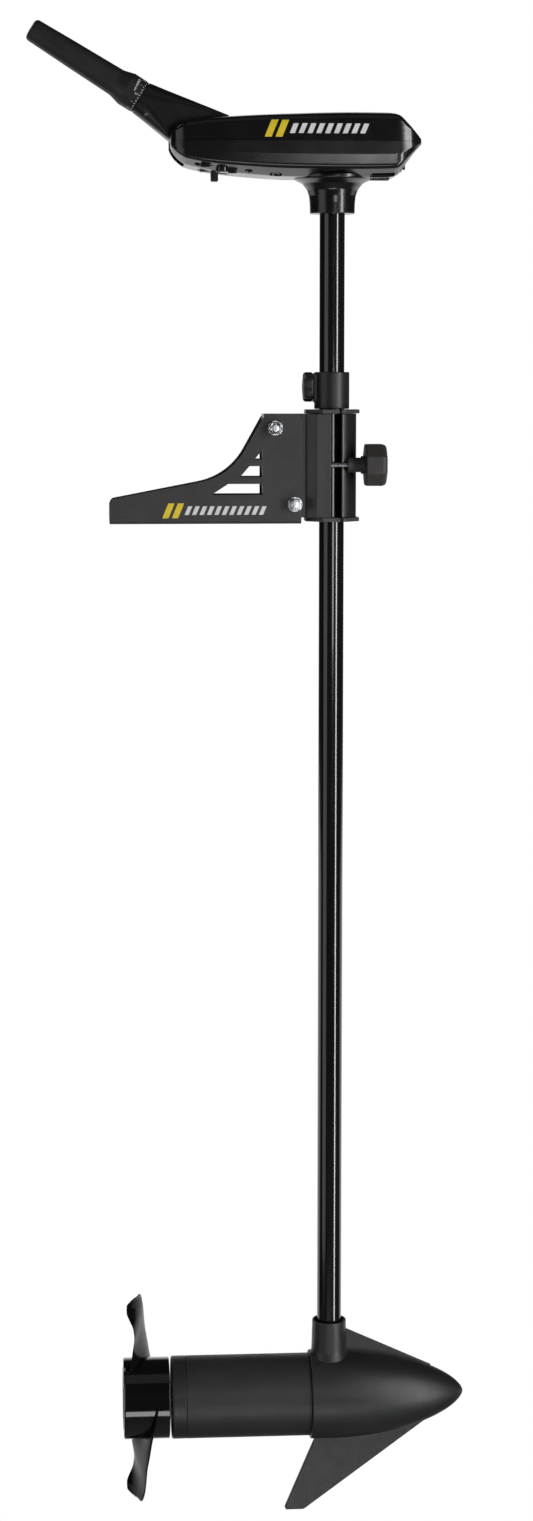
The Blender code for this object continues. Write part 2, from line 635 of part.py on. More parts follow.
def build_nose(cast, axis):
    at = (NOSE_BACK, 0, MOTOR_Z)
    nose = turned("nosecone", [(0, 0)] + nose_profile(12), cast, axis, at, "X")
    collar = [(0, COLLAR_FOOT), (0.0218, COLLAR_FOOT), (0.0212, -0.8780), (0.0186, -0.8740),
              (0.0177, COLLAR_TOP - 0.0007), (0.0170, COLLAR_TOP), (0, COLLAR_TOP)]
    skeg = [(SHAFT_X - 0.0130, -0.9660), (SHAFT_X - 0.0155, -0.9710), (SHAFT_X - 0.0463, -1.0449),
            (SHAFT_X - 0.0450, SKEG_LOW), (SHAFT_X - 0.0266, SKEG_LOW), (SHAFT_X + 0.1080, -0.9480),
            (SHAFT_X + 0.0900, -0.9350)]
    gusset = [(SHAFT_X + 0.0120, -0.8500), (SHAFT_X + 0.0182, -0.8503), (SHAFT_X + 0.0860, -0.8815),
              (SHAFT_X + 0.0860, COLLAR_FOOT), (SHAFT_X + 0.0120, COLLAR_FOOT)]
    join(
        nose,
        turned("nose_collar", collar, cast, axis, (SHAFT_X, 0, 0), sides=32),
        extruded("nose_skeg", skeg, -0.0028, 0.0028, cast, axis, along="Y"),
        extruded("nose_gusset", gusset, -0.0024, 0.0024, cast, axis, along="Y"),
    )
    cut(
        nose,
        disc("nose_chamber", 0.0330, -0.01, 0.0560, cast, axis, at, "X", 32),
        disc("nose_bearing_seat", 0.0085, 0.04, 0.0640, cast, axis, at, "X", 24),
        disc("collar_bore", SHAFT_R + GAP, SHAFT_FOOT - GAP, -0.8, cast, axis, (SHAFT_X, 0, 0), sides=32),
        disc("lead_way", 0.0085, MOTOR_Z, -0.8, cast, axis, (SHAFT_X, 0, 0), sides=16),
    )
    for side in (-1, 1):
        hole_at = (NOSE_BACK, side * THROUGH_BOLT_Y, MOTOR_Z)
        cut(nose, disc(f"nose_thread_{side + 1}", 0.0024, -0.01, 0.0190, cast, axis, hole_at, "X", 12))


def build_motor(paint, cast, steel, dark, brass, nylon, rubber, axis):
    at = (0, 0, MOTOR_Z)
    ring("motor_tube", TUBE_R - TUBE_WALL, TUBE_R, TUBE_BACK, NOSE_BACK - GAP, paint, axis, at, "X")
    cap = [(0.0120, CAP_BACK), (TUBE_R - 0.002, CAP_BACK), (TUBE_R, CAP_BACK + 0.002),
           (TUBE_R, TUBE_BACK - GAP), (TUBE_R - TUBE_WALL - GAP, TUBE_BACK - GAP),
           (TUBE_R - TUBE_WALL - GAP, TUBE_BACK + 0.003), (0.0120, TUBE_BACK + 0.003)]
    end_cap = turned("end_cap", cap, cast, axis, at, "X")
    for number, side in enumerate((-1, 1)):
        bolt_at = (CAP_BACK, side * THROUGH_BOLT_Y, MOTOR_Z)
        way = [(0, -0.01), (0.0041, -0.01), (0.0041, 0.0042), (0.0025, 0.0042), (0.0025, 0.03), (0, 0.03)]
        cut(end_cap, turned(f"cap_way_{number}", way, cast, axis, bolt_at, "X", 12))
        length = NOSE_BACK - CAP_BACK + 0.0180
        profile = [(0, 0.0008), (0.0036, 0.0008), (0.0036, 0.0037), (0.0020, 0.0037), (0.0020, length),
                   (0, length)]
        turned(f"through_bolt_{number + 1}", profile, steel, axis, bolt_at, "X", 12)
    for number, start in enumerate((25, 205)):
        outline = arc((0, 0), 0.0392, start, start + 130, 12) + arc((0, 0), 0.0350, start + 130, start, 12)
        extruded(f"magnet_{number + 1}", outline, 0.0040, 0.0840, dark, axis, at, "X")
    bearing = [(ARMATURE_R + GAP, 0), (0.0117, 0), (0.0117, 0.0070), (ARMATURE_R + GAP, 0.0070)]
    turned("rear_bearing", bearing, brass, axis, (TUBE_BACK - 0.0045, 0, MOTOR_Z), "X", 24)
    seal = [(ARMATURE_R + GAP, 0), (0.0117, 0), (0.0117, 0.0060), (ARMATURE_R + GAP, 0.0060)]
    turned("shaft_seal", seal, rubber, axis, (CAP_BACK + 0.0006, 0, MOTOR_Z), "X", 24)
    ring("front_bearing", ARMATURE_R + GAP, 0.0082, 0.1645, 0.1716, brass, axis, at, "X", 24)
    ring("brush_plate", 0.0190, 0.0322, 0.1110, 0.1130, nylon, axis, at, "X", 32)
    for number, side in enumerate((-1, 1)):
        low, high = (0.1133, -0.0040, 0.0144), (0.1193, 0.0040, 0.0240)
        brush = box(f"brush_{number + 1}", low, high, dark, axis, at)
        if side < 0:
            brush.rotation_euler = (pi, 0, 0)


def build_armature(steel, copper, stack, axis):
    at = (0, 0, MOTOR_Z)
    shaft = disc("armature_shaft", ARMATURE_R, HUB_BACK + 0.0080, 0.1700, steel, axis, at, "X", 20)
    cut(shaft, disc("pin_hole", 0.0020, -0.02, 0.02, steel, axis, (DRIVE_PIN_X, 0, MOTOR_Z), "Y", 12))
    teeth, outline = 12, []
    for tooth in range(teeth):
        middle = 360 * tooth / teeth
        outline += arc((0, 0), 0.0340, middle - 11, middle + 11, 2)
        outline += arc((0, 0), 0.0210, middle + 11, middle + 19, 1)
    core = extruded("armature_core", outline, 0.0080, 0.0800, stack, axis, at, "X")
    cut(core, disc("core_bore", ARMATURE_R + GAP, -0.01, 0.2, stack, axis, at, "X", 20))
    coil = [(ARMATURE_R + GAP, 0), (0.0150, 0), (0.0290, 0.004), (0.0290, 0.012), (0.0180, 0.018),
            (ARMATURE_R + GAP, 0.018)]
    turned("winding", coil, copper, axis, (0.0803, 0, MOTOR_Z), "X", 24)
    ring("commutator", ARMATURE_R + GAP, 0.0140, 0.1080, 0.1240, copper, axis, at, "X", 24)


def blade_sections(root, tip, steps):
    """Sections of one blade standing along +Z about the motor's axis, which runs along X."""
    rows = []
    for i in range(steps + 1):
        t = i / steps
        radius = root + (tip - root) * t
        chord = 0.060 * (1 - 0.32 * t - 0.38 * t**6)
        pitch = radians(33 - 14 * t)
        sweep = 0.006 * t + 0.010 * t**2
        rake = -0.003 * t - 0.007 * t**5
        thick = 0.0060 * (1 - 0.55 * t)
        row = []
        for u, v in ((-0.5, 0), (-0.25, 0.42), (0.1, 0.5), (0.5, 0.08), (0.5, -0.08), (0.1, -0.5),
                     (-0.25, -0.42)):
            along, out = u * chord + sweep, v * thick
            x = along * sin(pitch) + out * cos(pitch) + rake
            y = along * cos(pitch) - out * sin(pitch)
            row.append((x, y, (radius**2 - min(y**2, 0.8 * radius**2)) ** 0.5))
        rows.append(row)
    return rows


def build_propeller(gloss, steel, axis):
    at = (0, 0, MOTOR_Z)
    front, back, web = HUB_FRONT, HUB_BACK, -0.0560
    hub = [(ARMATURE_R + GAP, web), (0.0160, web), (0.0180, front - 0.0080), (0.0375, front - 0.0080),
           (0.0375, front), (HUB_R - 0.0010, front), (HUB_R, front - 0.0010),
           (HUB_R, back + 0.0025), (HUB_R - 0.0025, back), (0.0340, back), (0.0335, back + 0.0080),
           (0.0160, back + 0.0110), (0.0150, back + 0.0200), (ARMATURE_R + GAP, back + 0.0200)]
    propeller = turned("propeller", hub, gloss, axis, at, "X")
    middle = (HUB_FRONT + HUB_BACK) / 2
    for number, turn in enumerate((0, pi)):
        sections = blade_sections(0.0385, PROP_R, 9)
        blade = lofted(f"blade_{number}", sections, gloss, axis, (middle, 0, MOTOR_Z))
        blade.rotation_euler = (turn, 0, 0)
        join(propeller, blade)
    slot = box("pin_slot", (-0.0545, -0.0125, -0.0024), (-0.0400, 0.0125, 0.0024), gloss, axis, at)
    cut(propeller, slot)
    disc("drive_pin", 0.0019, -0.0112, 0.0112, steel, axis, (DRIVE_PIN_X, 0, MOTOR_Z), "Y", 12)
    nut = extruded("propeller_nut", hexagon(0.0160), back + 0.0100, back + 0.0196, steel, axis, at, "X")
    cut(nut, disc("nut_bore", ARMATURE_R + GAP, -0.2, 0.2, steel, axis, at, "X", 20))


def main():
    clear_scene()
    black_paint = make_material("black_paint", (0.012, 0.012, 0.013), 0.55)
    gloss_paint = make_material("gloss_paint", (0.010, 0.010, 0.011), 0.25)
    satin_plastic = make_material("satin_plastic", (0.012, 0.012, 0.014), 0.35)
    matte_plastic = make_material("matte_plastic", (0.016, 0.016, 0.017), 0.60)
    cast_black = make_material("cast_black", (0.014, 0.014, 0.015), 0.65)
    nylon = make_material("nylon", (0.030, 0.031, 0.033), 0.45)
    rubber = make_material("rubber", (0.015, 0.015, 0.015), 0.80)
    zinc = make_material("zinc", (0.62, 0.64, 0.66), 0.35, 1.0)
    steel = make_material("steel", (0.55, 0.55, 0.56), 0.30, 1.0)
    brass = make_material("brass", (0.70, 0.52, 0.25), 0.35, 1.0)
    copper = make_material("copper", (0.72, 0.36, 0.20), 0.40, 1.0)
    ferrite = make_material("ferrite", (0.06, 0.06, 0.065), 0.60)
    board_green = make_material("board_green", (0.02, 0.16, 0.06), 0.50)
    red = make_material("red_insulation", (0.55, 0.03, 0.02), 0.50)

    base = make_axis("base_frame", 0, 0, 0)
    tilt = make_axis("tilt_axis", PIVOT[0], 0, PIVOT[1], base)
    knob = make_axis("tension_axis", SHAFT_X, PINCH_Y, PINCH_Z, tilt)
    steer = make_axis("steering_axis", SHAFT_X, 0, COLLAR_LOW, tilt)
    collar_knob = make_axis("collar_knob_axis", SHAFT_X, 0, COLLAR_KNOB_Z, steer)
    depth = make_axis("depth_axis", SHAFT_X, 0, 0, steer)
    tiller = make_axis("tiller_axis", TILLER_PIVOT[0], 0, TILLER_PIVOT[1], depth)
    grip = make_axis("grip_axis", TILLER_JOINT[0], 0, TILLER_JOINT[1], tiller)
    lever = make_axis("lever_axis", 0.0210, 0, 0.3515, depth)
    spin = make_axis("motor_axis", SHAFT_X, 0, MOTOR_Z, depth)

    build_bracket(black_paint, zinc, base)
    build_clamp(black_paint, nylon, zinc, tilt)
    build_tension_knob(rubber, knob)
    build_collar(matte_plastic, brass, steer)
    build_collar_knob(satin_plastic, zinc, collar_knob)
    build_shaft(gloss_paint, red, rubber, depth)
    build_head(satin_plastic, zinc, board_green, rubber, depth)
    build_arm(satin_plastic, zinc, matte_plastic, tiller)
    build_grip(matte_plastic, steel, grip)
    build_lever(matte_plastic, lever)
    build_nose(cast_black, depth)
    build_motor(black_paint, cast_black, steel, ferrite, brass, nylon, rubber, depth)
    build_armature(steel, copper, ferrite, spin)
    build_propeller(gloss_paint, steel, spin)


main()
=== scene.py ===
"""Looks of the trolling motor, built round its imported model, in metres, +Z up."""

import json
from math import atan2, cos, hypot, pi, radians, sin, tan

import bmesh
import bpy
from mathutils import Matrix, Vector
from mathutils.bvhtree import BVHTree


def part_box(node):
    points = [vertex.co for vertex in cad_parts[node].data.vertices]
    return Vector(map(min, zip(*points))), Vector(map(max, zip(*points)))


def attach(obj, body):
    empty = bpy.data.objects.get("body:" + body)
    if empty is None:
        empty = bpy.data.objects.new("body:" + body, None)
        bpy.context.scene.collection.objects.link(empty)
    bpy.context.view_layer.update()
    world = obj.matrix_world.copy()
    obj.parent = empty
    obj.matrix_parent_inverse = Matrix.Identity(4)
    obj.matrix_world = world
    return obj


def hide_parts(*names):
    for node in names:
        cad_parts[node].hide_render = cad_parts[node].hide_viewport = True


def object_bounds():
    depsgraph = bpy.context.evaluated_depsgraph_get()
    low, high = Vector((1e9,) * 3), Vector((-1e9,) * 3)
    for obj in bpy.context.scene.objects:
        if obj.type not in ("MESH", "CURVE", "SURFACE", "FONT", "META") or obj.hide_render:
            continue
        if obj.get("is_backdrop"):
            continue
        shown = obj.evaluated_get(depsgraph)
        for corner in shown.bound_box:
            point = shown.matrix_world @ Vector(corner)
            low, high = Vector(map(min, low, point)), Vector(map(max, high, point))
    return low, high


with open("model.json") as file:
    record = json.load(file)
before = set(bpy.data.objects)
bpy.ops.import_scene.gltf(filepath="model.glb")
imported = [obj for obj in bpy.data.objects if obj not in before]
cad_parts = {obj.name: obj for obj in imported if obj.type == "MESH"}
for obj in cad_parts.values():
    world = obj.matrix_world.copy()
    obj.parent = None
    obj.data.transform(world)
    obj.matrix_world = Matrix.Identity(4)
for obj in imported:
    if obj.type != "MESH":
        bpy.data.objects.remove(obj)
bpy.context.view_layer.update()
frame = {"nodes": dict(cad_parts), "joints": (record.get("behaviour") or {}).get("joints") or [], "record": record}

FINE, MEDIUM, COARSE = 96, 48, 32  # sides of turned pieces, by size
GAP = 0.0003  # usual clearance between pieces
THROUGH = 0.05  # reach of a cutter to each side, when it goes right through along Y
WHITE = (1, 1, 1, 1)
TOWARDS = {"X": Matrix.Rotation(pi / 2, 4, "Y"), "Y": Matrix.Rotation(-pi / 2, 4, "X"), "Z": Matrix()}


def centre(node):
    low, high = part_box(node)
    return (low + high) / 2


def joint(name):
    return next(j for j in frame["joints"] if j["name"] == name)


SHAFT_X = centre("shaft_tube").x
MOTOR_Z = centre("motor_tube").z
BOLT_Y = 0.0372  # the through bolts of the motor, from its axis


# Materials

def added(tree, kind, operation=None, **values):
    """A shader node, with values for its sockets. A blank in a socket's name is written as _."""
    made = tree.nodes.new("ShaderNode" + kind)
    if operation:
        made.operation = operation
    for name, value in values.items():
        made.inputs[name.replace("_", " ")].default_value = value
    return made


def noise_of(tree, scale, detail, stretch):
    """A noise in the object's own space."""
    place = added(tree, "TexCoord")
    mapping = added(tree, "Mapping", Scale=stretch)
    noise = added(tree, "TexNoise", Scale=scale, Detail=detail)
    tree.links.new(place.outputs["Object"], mapping.inputs["Vector"])
    tree.links.new(mapping.outputs["Vector"], noise.inputs["Vector"])
    return noise.outputs["Fac"]


def tinted(tree, colours, scale, detail, stretch):
    """A noise over the surface, as a ramp between two colours."""
    ramp = added(tree, "ValToRGB")
    for element, position, colour in zip(ramp.color_ramp.elements, (0.3, 0.7), colours):
        element.position = position
        element.color = (*colour, 1)
    tree.links.new(noise_of(tree, scale, detail, stretch), ramp.inputs["Fac"])
    return ramp.outputs["Color"]


def bumped(tree, scale, height, strength, detail, stretch, before=None):
    """A fine relief, laid over the relief that came before it."""
    bump = added(tree, "Bump", Distance=height, Strength=strength)
    tree.links.new(noise_of(tree, scale, detail, stretch), bump.inputs["Height"])
    if before is not None:
        tree.links.new(before, bump.inputs["Normal"])
    return bump.outputs["Normal"]


def wear_and_edge_highlight(tree, colour, edge_colour, radius, amount):
    """The colour, turning paler where an edge is sharper than the radius: partly edge wear, partly a painted
    highlight along the edge.
    """
    links = tree.links
    bevel = added(tree, "Bevel", Radius=radius)
    bevel.samples = 4
    plain = added(tree, "NewGeometry")
    dot = added(tree, "VectorMath", "DOT_PRODUCT")
    # the share of paler edge, worn and painted highlight alike, by how far the rounded normal leans from the true
    # one
    mask = added(tree, "MapRange", From_Min=0.995, From_Max=0.8, To_Max=amount)
    mix = added(tree, "Mix")
    mix.data_type = "RGBA"
    mix.inputs["B"].default_value = (*edge_colour, 1)
    links.new(bevel.outputs["Normal"], dot.inputs[0])
    links.new(plain.outputs["Normal"], dot.inputs[1])
    links.new(dot.outputs["Value"], mask.inputs["Value"])
    links.new(mask.outputs["Result"], mix.inputs["Factor"])
    links.new(colour, mix.inputs["A"])
    return mix.outputs["Result"]


def finish_of(name, colours, roughness, cloud, metallic=0.0, stretch=(1, 1, 1), grain=None, wave=None,
              coat=None, specular=0.5, wear_and_highlight=None):
    """A finish: clouded colour, varied roughness, fine grain, a slow wave, a coat, and paler edges that are partly
    wear and partly a painted highlight.
    """
    material = bpy.data.materials.new(name)
    material.use_nodes = True
    tree = material.node_tree
    shader = tree.nodes["Principled BSDF"]
    colour = tinted(tree, colours, cloud, 4.0, stretch)
    # paler sharp edges: edge wear together with a painted highlight along the edges
    if wear_and_highlight:
        colour = wear_and_edge_highlight(tree, colour, *wear_and_highlight)
    tree.links.new(colour, shader.inputs["Base Color"])
    rough = tinted(tree, [(value,) * 3 for value in roughness], cloud * 3, 3.0, stretch)
    tree.links.new(rough, shader.inputs["Roughness"])
    shader.inputs["Metallic"].default_value = metallic
    shader.inputs["Specular IOR Level"].default_value = specular
    if coat:
        shader.inputs["Coat Weight"].default_value = coat[0]
        shader.inputs["Coat Roughness"].default_value = coat[1]
    normal = None
    if wave:
        normal = bumped(tree, *wave, 1.0, stretch)
    if grain:
        normal = bumped(tree, *grain, 2.0, stretch, normal)
    if normal is not None:
        tree.links.new(normal, shader.inputs["Normal"])
    return material


UPRIGHT = (1, 1, 0.06)  # streaks along Z

LOOKS = {
    # both colours, both roughnesses, and how the finish differs from a plain one. Grain and wave are
    # scale, height and strength, a coat is weight and roughness, and wear_and_highlight is the colour, radius
    # and amount of paler edges, partly edge wear and partly a painted highlight.
    # on the bracket, the paler edges are edge wear that also serves as a painted highlight line along its edges
    "bracket_steel": (((0.026, 0.026, 0.027), (0.036, 0.036, 0.037)), (0.5, 0.62), dict(
        cloud=30, grain=(1500, 0.0002, 0.55), wave=(90, 0.0004, 0.1), wear_and_highlight=((0.1, 0.1, 0.1), 0.0007, 0.5))),
    "clamp_alloy": (((0.009, 0.009, 0.0095), (0.014, 0.014, 0.0145)), (0.28, 0.38), dict(
        cloud=30, stretch=UPRIGHT, grain=(900, 0.00006, 0.3), wear_and_highlight=((0.1, 0.1, 0.1), 0.0007, 0.5))),
    "cast_alloy": (((0.0115, 0.012, 0.0125), (0.016, 0.0165, 0.017)), (0.38, 0.46), dict(
        cloud=25, grain=(1300, 0.00024, 0.6), wave=(140, 0.0004, 0.12),
        wear_and_highlight=((0.08, 0.08, 0.08), 0.0007, 0.4))),
    "tube_steel": (((0.014, 0.0145, 0.015), (0.019, 0.0195, 0.02)), (0.42, 0.52), dict(
        cloud=25, grain=(1400, 0.0002, 0.55), wave=(120, 0.0004, 0.1))),
    "shaft_composite": (((0.005, 0.005, 0.0055), (0.008, 0.008, 0.0085)), (0.1, 0.17), dict(
        cloud=60, stretch=UPRIGHT, grain=(500, 0.00004, 0.12), wave=(60, 0.0002, 0.05), coat=(0.35, 0.05))),
    "head_plastic": (((0.0045, 0.0045, 0.0052), (0.0065, 0.0065, 0.0072)), (0.2, 0.28), dict(
        cloud=14, grain=(1600, 0.00004, 0.14), wave=(35, 0.0003, 0.05), coat=(0.15, 0.12))),
    "tiller_plastic": (((0.0045, 0.0045, 0.005), (0.007, 0.007, 0.0075)), (0.3, 0.4), dict(
        cloud=20, grain=(1500, 0.00008, 0.25))),
    "grip_plastic": (((0.008, 0.008, 0.008), (0.012, 0.012, 0.0118)), (0.45, 0.56), dict(
        cloud=30, grain=(1700, 0.00014, 0.4))),
    "knob_plastic": (((0.026, 0.024, 0.023), (0.036, 0.034, 0.032)), (0.55, 0.66), dict(
        cloud=40, grain=(1600, 0.00016, 0.45), wear_and_highlight=((0.07, 0.07, 0.07), 0.0008, 0.5))),
    "collar_plastic": (((0.0085, 0.0085, 0.009), (0.0125, 0.0125, 0.013)), (0.36, 0.46), dict(
        cloud=40, grain=(1500, 0.0001, 0.3))),
    "propeller_plastic": (((0.003, 0.003, 0.0034), (0.0045, 0.0045, 0.005)), (0.07, 0.13), dict(
        cloud=22, wave=(40, 0.0003, 0.05), coat=(0.5, 0.04))),
    "blade_plastic": (((0.0035, 0.0035, 0.0038), (0.0055, 0.0055, 0.006)), (0.16, 0.24), dict(
        cloud=22, wave=(40, 0.0003, 0.05), specular=0.02)),
    "nylon": (((0.045, 0.045, 0.048), (0.06, 0.06, 0.064)), (0.34, 0.44), dict(
        cloud=50, grain=(1200, 0.0001, 0.25))),
    "rubber": (((0.012, 0.012, 0.012), (0.02, 0.02, 0.02)), (0.65, 0.8), dict(
        cloud=60, grain=(1300, 0.00015, 0.4))),
    "red_insulation": (((0.35, 0.015, 0.01), (0.5, 0.03, 0.02)), (0.4, 0.5), dict(
        cloud=80, grain=(900, 0.0001, 0.2))),
    "zinc_steel": (((0.52, 0.55, 0.58), (0.72, 0.74, 0.76)), (0.16, 0.34), dict(
        metallic=1.0, cloud=220, grain=(1400, 0.00006, 0.25))),
    "iron_core": (((0.22, 0.22, 0.23), (0.3, 0.3, 0.31)), (0.35, 0.5), dict(
        metallic=0.9, cloud=40, stretch=(18, 1, 1), grain=(240, 0.0002, 0.5))),
    "ferrite": (((0.05, 0.05, 0.054), (0.08, 0.08, 0.085)), (0.55, 0.7), dict(
        cloud=90, grain=(900, 0.0002, 0.45))),
    "brass": (((0.5, 0.34, 0.12), (0.66, 0.48, 0.2)), (0.25, 0.4), dict(
        metallic=1.0, cloud=120, grain=(900, 0.00006, 0.25))),
    "copper": (((0.48, 0.17, 0.07), (0.66, 0.28, 0.13)), (0.25, 0.42), dict(
        metallic=1.0, cloud=160, stretch=(1, 6, 6), grain=(300, 0.0003, 0.6))),
    "circuit_board": (((0.01, 0.085, 0.03), (0.016, 0.13, 0.045)), (0.3, 0.45), dict(
        cloud=150, grain=(500, 0.00008, 0.3))),
    "yellow_print": (((0.66, 0.5, 0.02), (0.76, 0.58, 0.03)), (0.35, 0.45), dict(
        cloud=120, grain=(1200, 0.00005, 0.2))),
    "white_print": (((0.62, 0.62, 0.61), (0.74, 0.74, 0.73)), (0.4, 0.5), dict(
        cloud=120, grain=(1200, 0.00005, 0.2))),
}
FINISHES = {name: finish_of(name, colours, roughness, **more)
            for name, (colours, roughness, more) in LOOKS.items()}


# Shapes

def arc(middle, radius, start, stop, steps):
    """Points on a circle from one angle to another, in degrees."""
    angles = [radians(start + (stop - start) * i / steps) for i in range(steps + 1)]
    return [(middle[0] + radius * cos(a), middle[1] + radius * sin(a)) for a in angles]


def rounded(corners, steps=4, closed=True):
    """An outline of (x, y) or (x, y, radius) corners, each radius turned into an arc."""
    points = []
    last = len(corners) - 1
    for i, corner in enumerate(corners):
        here, radius = Vector(corner[:2]), (corner[2] if len(corner) > 2 else 0)
        if radius == 0 or (not closed and i in (0, last)):
            points.append(tuple(here))
            continue
        before = (Vector(corners[i - 1][:2]) - here).normalized()
        after = (Vector(corners[(i + 1) % len(corners)][:2]) - here).normalized()
        half = before.angle(after) / 2
        middle = here + (before + after).normalized() * radius / sin(half)
        first = here + before * radius / tan(half) - middle
        sweep = first.angle_signed(here + after * radius / tan(half) - middle)
        points += [tuple(middle + Matrix.Rotation(-sweep * step / steps, 2) @ first)
                   for step in range(steps + 1)]
    return points


def mesh_object(name, bm):
    bmesh.ops.remove_doubles(bm, verts=bm.verts, dist=1e-6)
    bmesh.ops.recalc_face_normals(bm, faces=bm.faces)
    mesh = bpy.data.meshes.new(name)
    bm.to_mesh(mesh)
    bm.free()
    thing = bpy.data.objects.new(name, mesh)
    bpy.context.scene.collection.objects.link(thing)
    return thing


def lofted(name, sections):
    """A skin over sections of equally many points, closed flat at both ends."""
    bm = bmesh.new()
    rows = [[bm.verts.new(point) for point in section] for section in sections]
    bm.faces.new(rows[0])
    bm.faces.new(rows[-1][::-1])
    for low, high in zip(rows, rows[1:]):
        for i in range(len(low)):
            j = (i + 1) % len(low)
            bm.faces.new((low[i], low[j], high[j], high[i]))
    return mesh_object(name, bm)


def turned(name, profile, at=(0, 0, 0), along="Z", sides=FINE, turn=None):
    """A turned shape from (radius, height, rounding) corners, from axis to axis or round a ring."""
    solid = profile[0][0] == 0
    points = rounded(profile, 5, closed=not solid)
    bm = bmesh.new()
    place = Matrix.Translation(at) @ (turn or TOWARDS[along])
    rings = []
    for radius, height in points:
        if radius < 1e-9:
            rings.append([bm.verts.new(place @ Vector((0, 0, height)))] * sides)
            continue
        angles = [2 * pi * i / sides for i in range(sides)]
        rings.append([bm.verts.new(place @ Vector((radius * cos(a), radius * sin(a), height)))
                      for a in angles])
    for low, high in zip(rings, rings[1:] if solid else rings[1:] + rings[:1]):
        for i in range(sides):
            j = (i + 1) % sides
            corners = list(dict.fromkeys((low[i], low[j], high[j], high[i])))
            if len(corners) > 2:
                bm.faces.new(corners)
    return mesh_object(name, bm)


def inset(outline, depth):
    """The outline moved inwards."""
    area = sum(a[0] * b[1] - b[0] * a[1] for a, b in zip(outline, outline[1:] + outline[:1]))
    way = depth if area > 0 else -depth
    found = []
    for i, corner in enumerate(outline):
        here = Vector(corner)
        before = (here - Vector(outline[i - 1])).normalized()
        after = (Vector(outline[(i + 1) % len(outline)]) - here).normalized()
        first, second = Vector((-before.y, before.x)), Vector((-after.y, after.x))
        found.append(tuple(here + (first + second) * way / max(1 + first.dot(second), 0.4)))
    return found


def extruded(name, outline, low, high, along="Z", at=(0, 0, 0), edge=0.0):
    """An outline raised from low to high. Along Y the outline is (x, z), along X (y, z), along Z (x, y)."""
    place = {
        "X": lambda u, v, h: (h, u, v),
        "Y": lambda u, v, h: (u, h, v),
        "Z": lambda u, v, h: (u, v, h),
    }[along]
    turns = [radians(a) for a in ((90, 60, 30, 0) if edge else (0,))]
    levels = [(low + edge * (1 - sin(a)), edge * (1 - cos(a))) for a in turns]
    levels += [(high - edge * (1 - sin(a)), edge * (1 - cos(a))) for a in reversed(turns)]
    return lofted(name, [[Vector(at) + Vector(place(u, v, h)) for u, v in inset(outline, depth)]
                         for h, depth in levels])


def block(name, low, high, edge=0.0, radius=0.0, along="Z"):
    u, v, h = {"X": (1, 2, 0), "Y": (0, 2, 1), "Z": (0, 1, 2)}[along]
    corners = [(low[u], low[v], radius), (high[u], low[v], radius), (high[u], high[v], radius),
               (low[u], high[v], radius)]
    return extruded(name, rounded(corners), low[h], high[h], along, edge=edge)


def ring(name, inner, outer, low, high, at, along="Z", sides=FINE, near=GAP, far=GAP):
    """A tube whose outer edges are rounded by near, at its low end, and far."""
    return turned(name, [(inner, low), (outer, low, near), (outer, high, far), (inner, high)], at, along, sides)


def bore(name, radius, low, high, at=(0, 0, 0), along="Z", sides=COARSE, turn=None):
    return turned(name, [(0, low), (radius, low), (radius, high), (0, high)], at, along, sides, turn)


def combine(target, operation, *others):
    """Joins, cuts or intersects the target with helpers, which are used up."""
    for other in others:
        modifier = target.modifiers.new(other.name, "BOOLEAN")
        modifier.operation = operation
        modifier.solver = "EXACT"
        modifier.object = other
    bpy.context.view_layer.update()
    graph = bpy.context.evaluated_depsgraph_get()
    mesh = bpy.data.meshes.new_from_object(target.evaluated_get(graph))
    target.modifiers.clear()
    target.data = mesh
    for other in others:
        bpy.data.objects.remove(other)
    return target


def cut(target, *cutters):
    return combine(target, "DIFFERENCE", *cutters)


def join(target, *pieces):
    return combine(target, "UNION", *pieces)


def soften(target, wanted, width, segments):
    """Rounds the edges of the target that `wanted` picks, given each edge's ends and angle."""
    bm = bmesh.new()
    bm.from_mesh(target.data)
    bmesh.ops.dissolve_degenerate(bm, edges=bm.edges, dist=1e-6)
    edges = [e for e in bm.edges
             if len(e.link_faces) == 2 and wanted(e.verts[0].co, e.verts[1].co, e.calc_face_angle())]
    bmesh.ops.bevel(bm, geom=edges, offset=width, segments=segments, profile=0.5, affect="EDGES",
                    clamp_overlap=True)
    bm.to_mesh(target.data)
    bm.free()


def show(thing, body, slot, *nodes, finish=None, sharp=32):
    """Gives a piece its finish and its body, and hides the CAD nodes that it stands for."""
    thing.data.materials.clear()
    thing.data.materials.append(FINISHES[finish or slot])
    for face in thing.data.polygons:
        face.material_index = 0
    thing.data.shade_smooth()
    thing.data.set_sharp_from_angle(angle=radians(sharp))
    weights = thing.modifiers.new("weights", "WEIGHTED_NORMAL")
    weights.keep_sharp = True
    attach(thing, body)
    if nodes:
        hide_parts(*nodes)


def hexagon(across_flats):
    return arc((0, 0), across_flats / 2 / cos(pi / 6), 0, 300, 5)


# Bracket

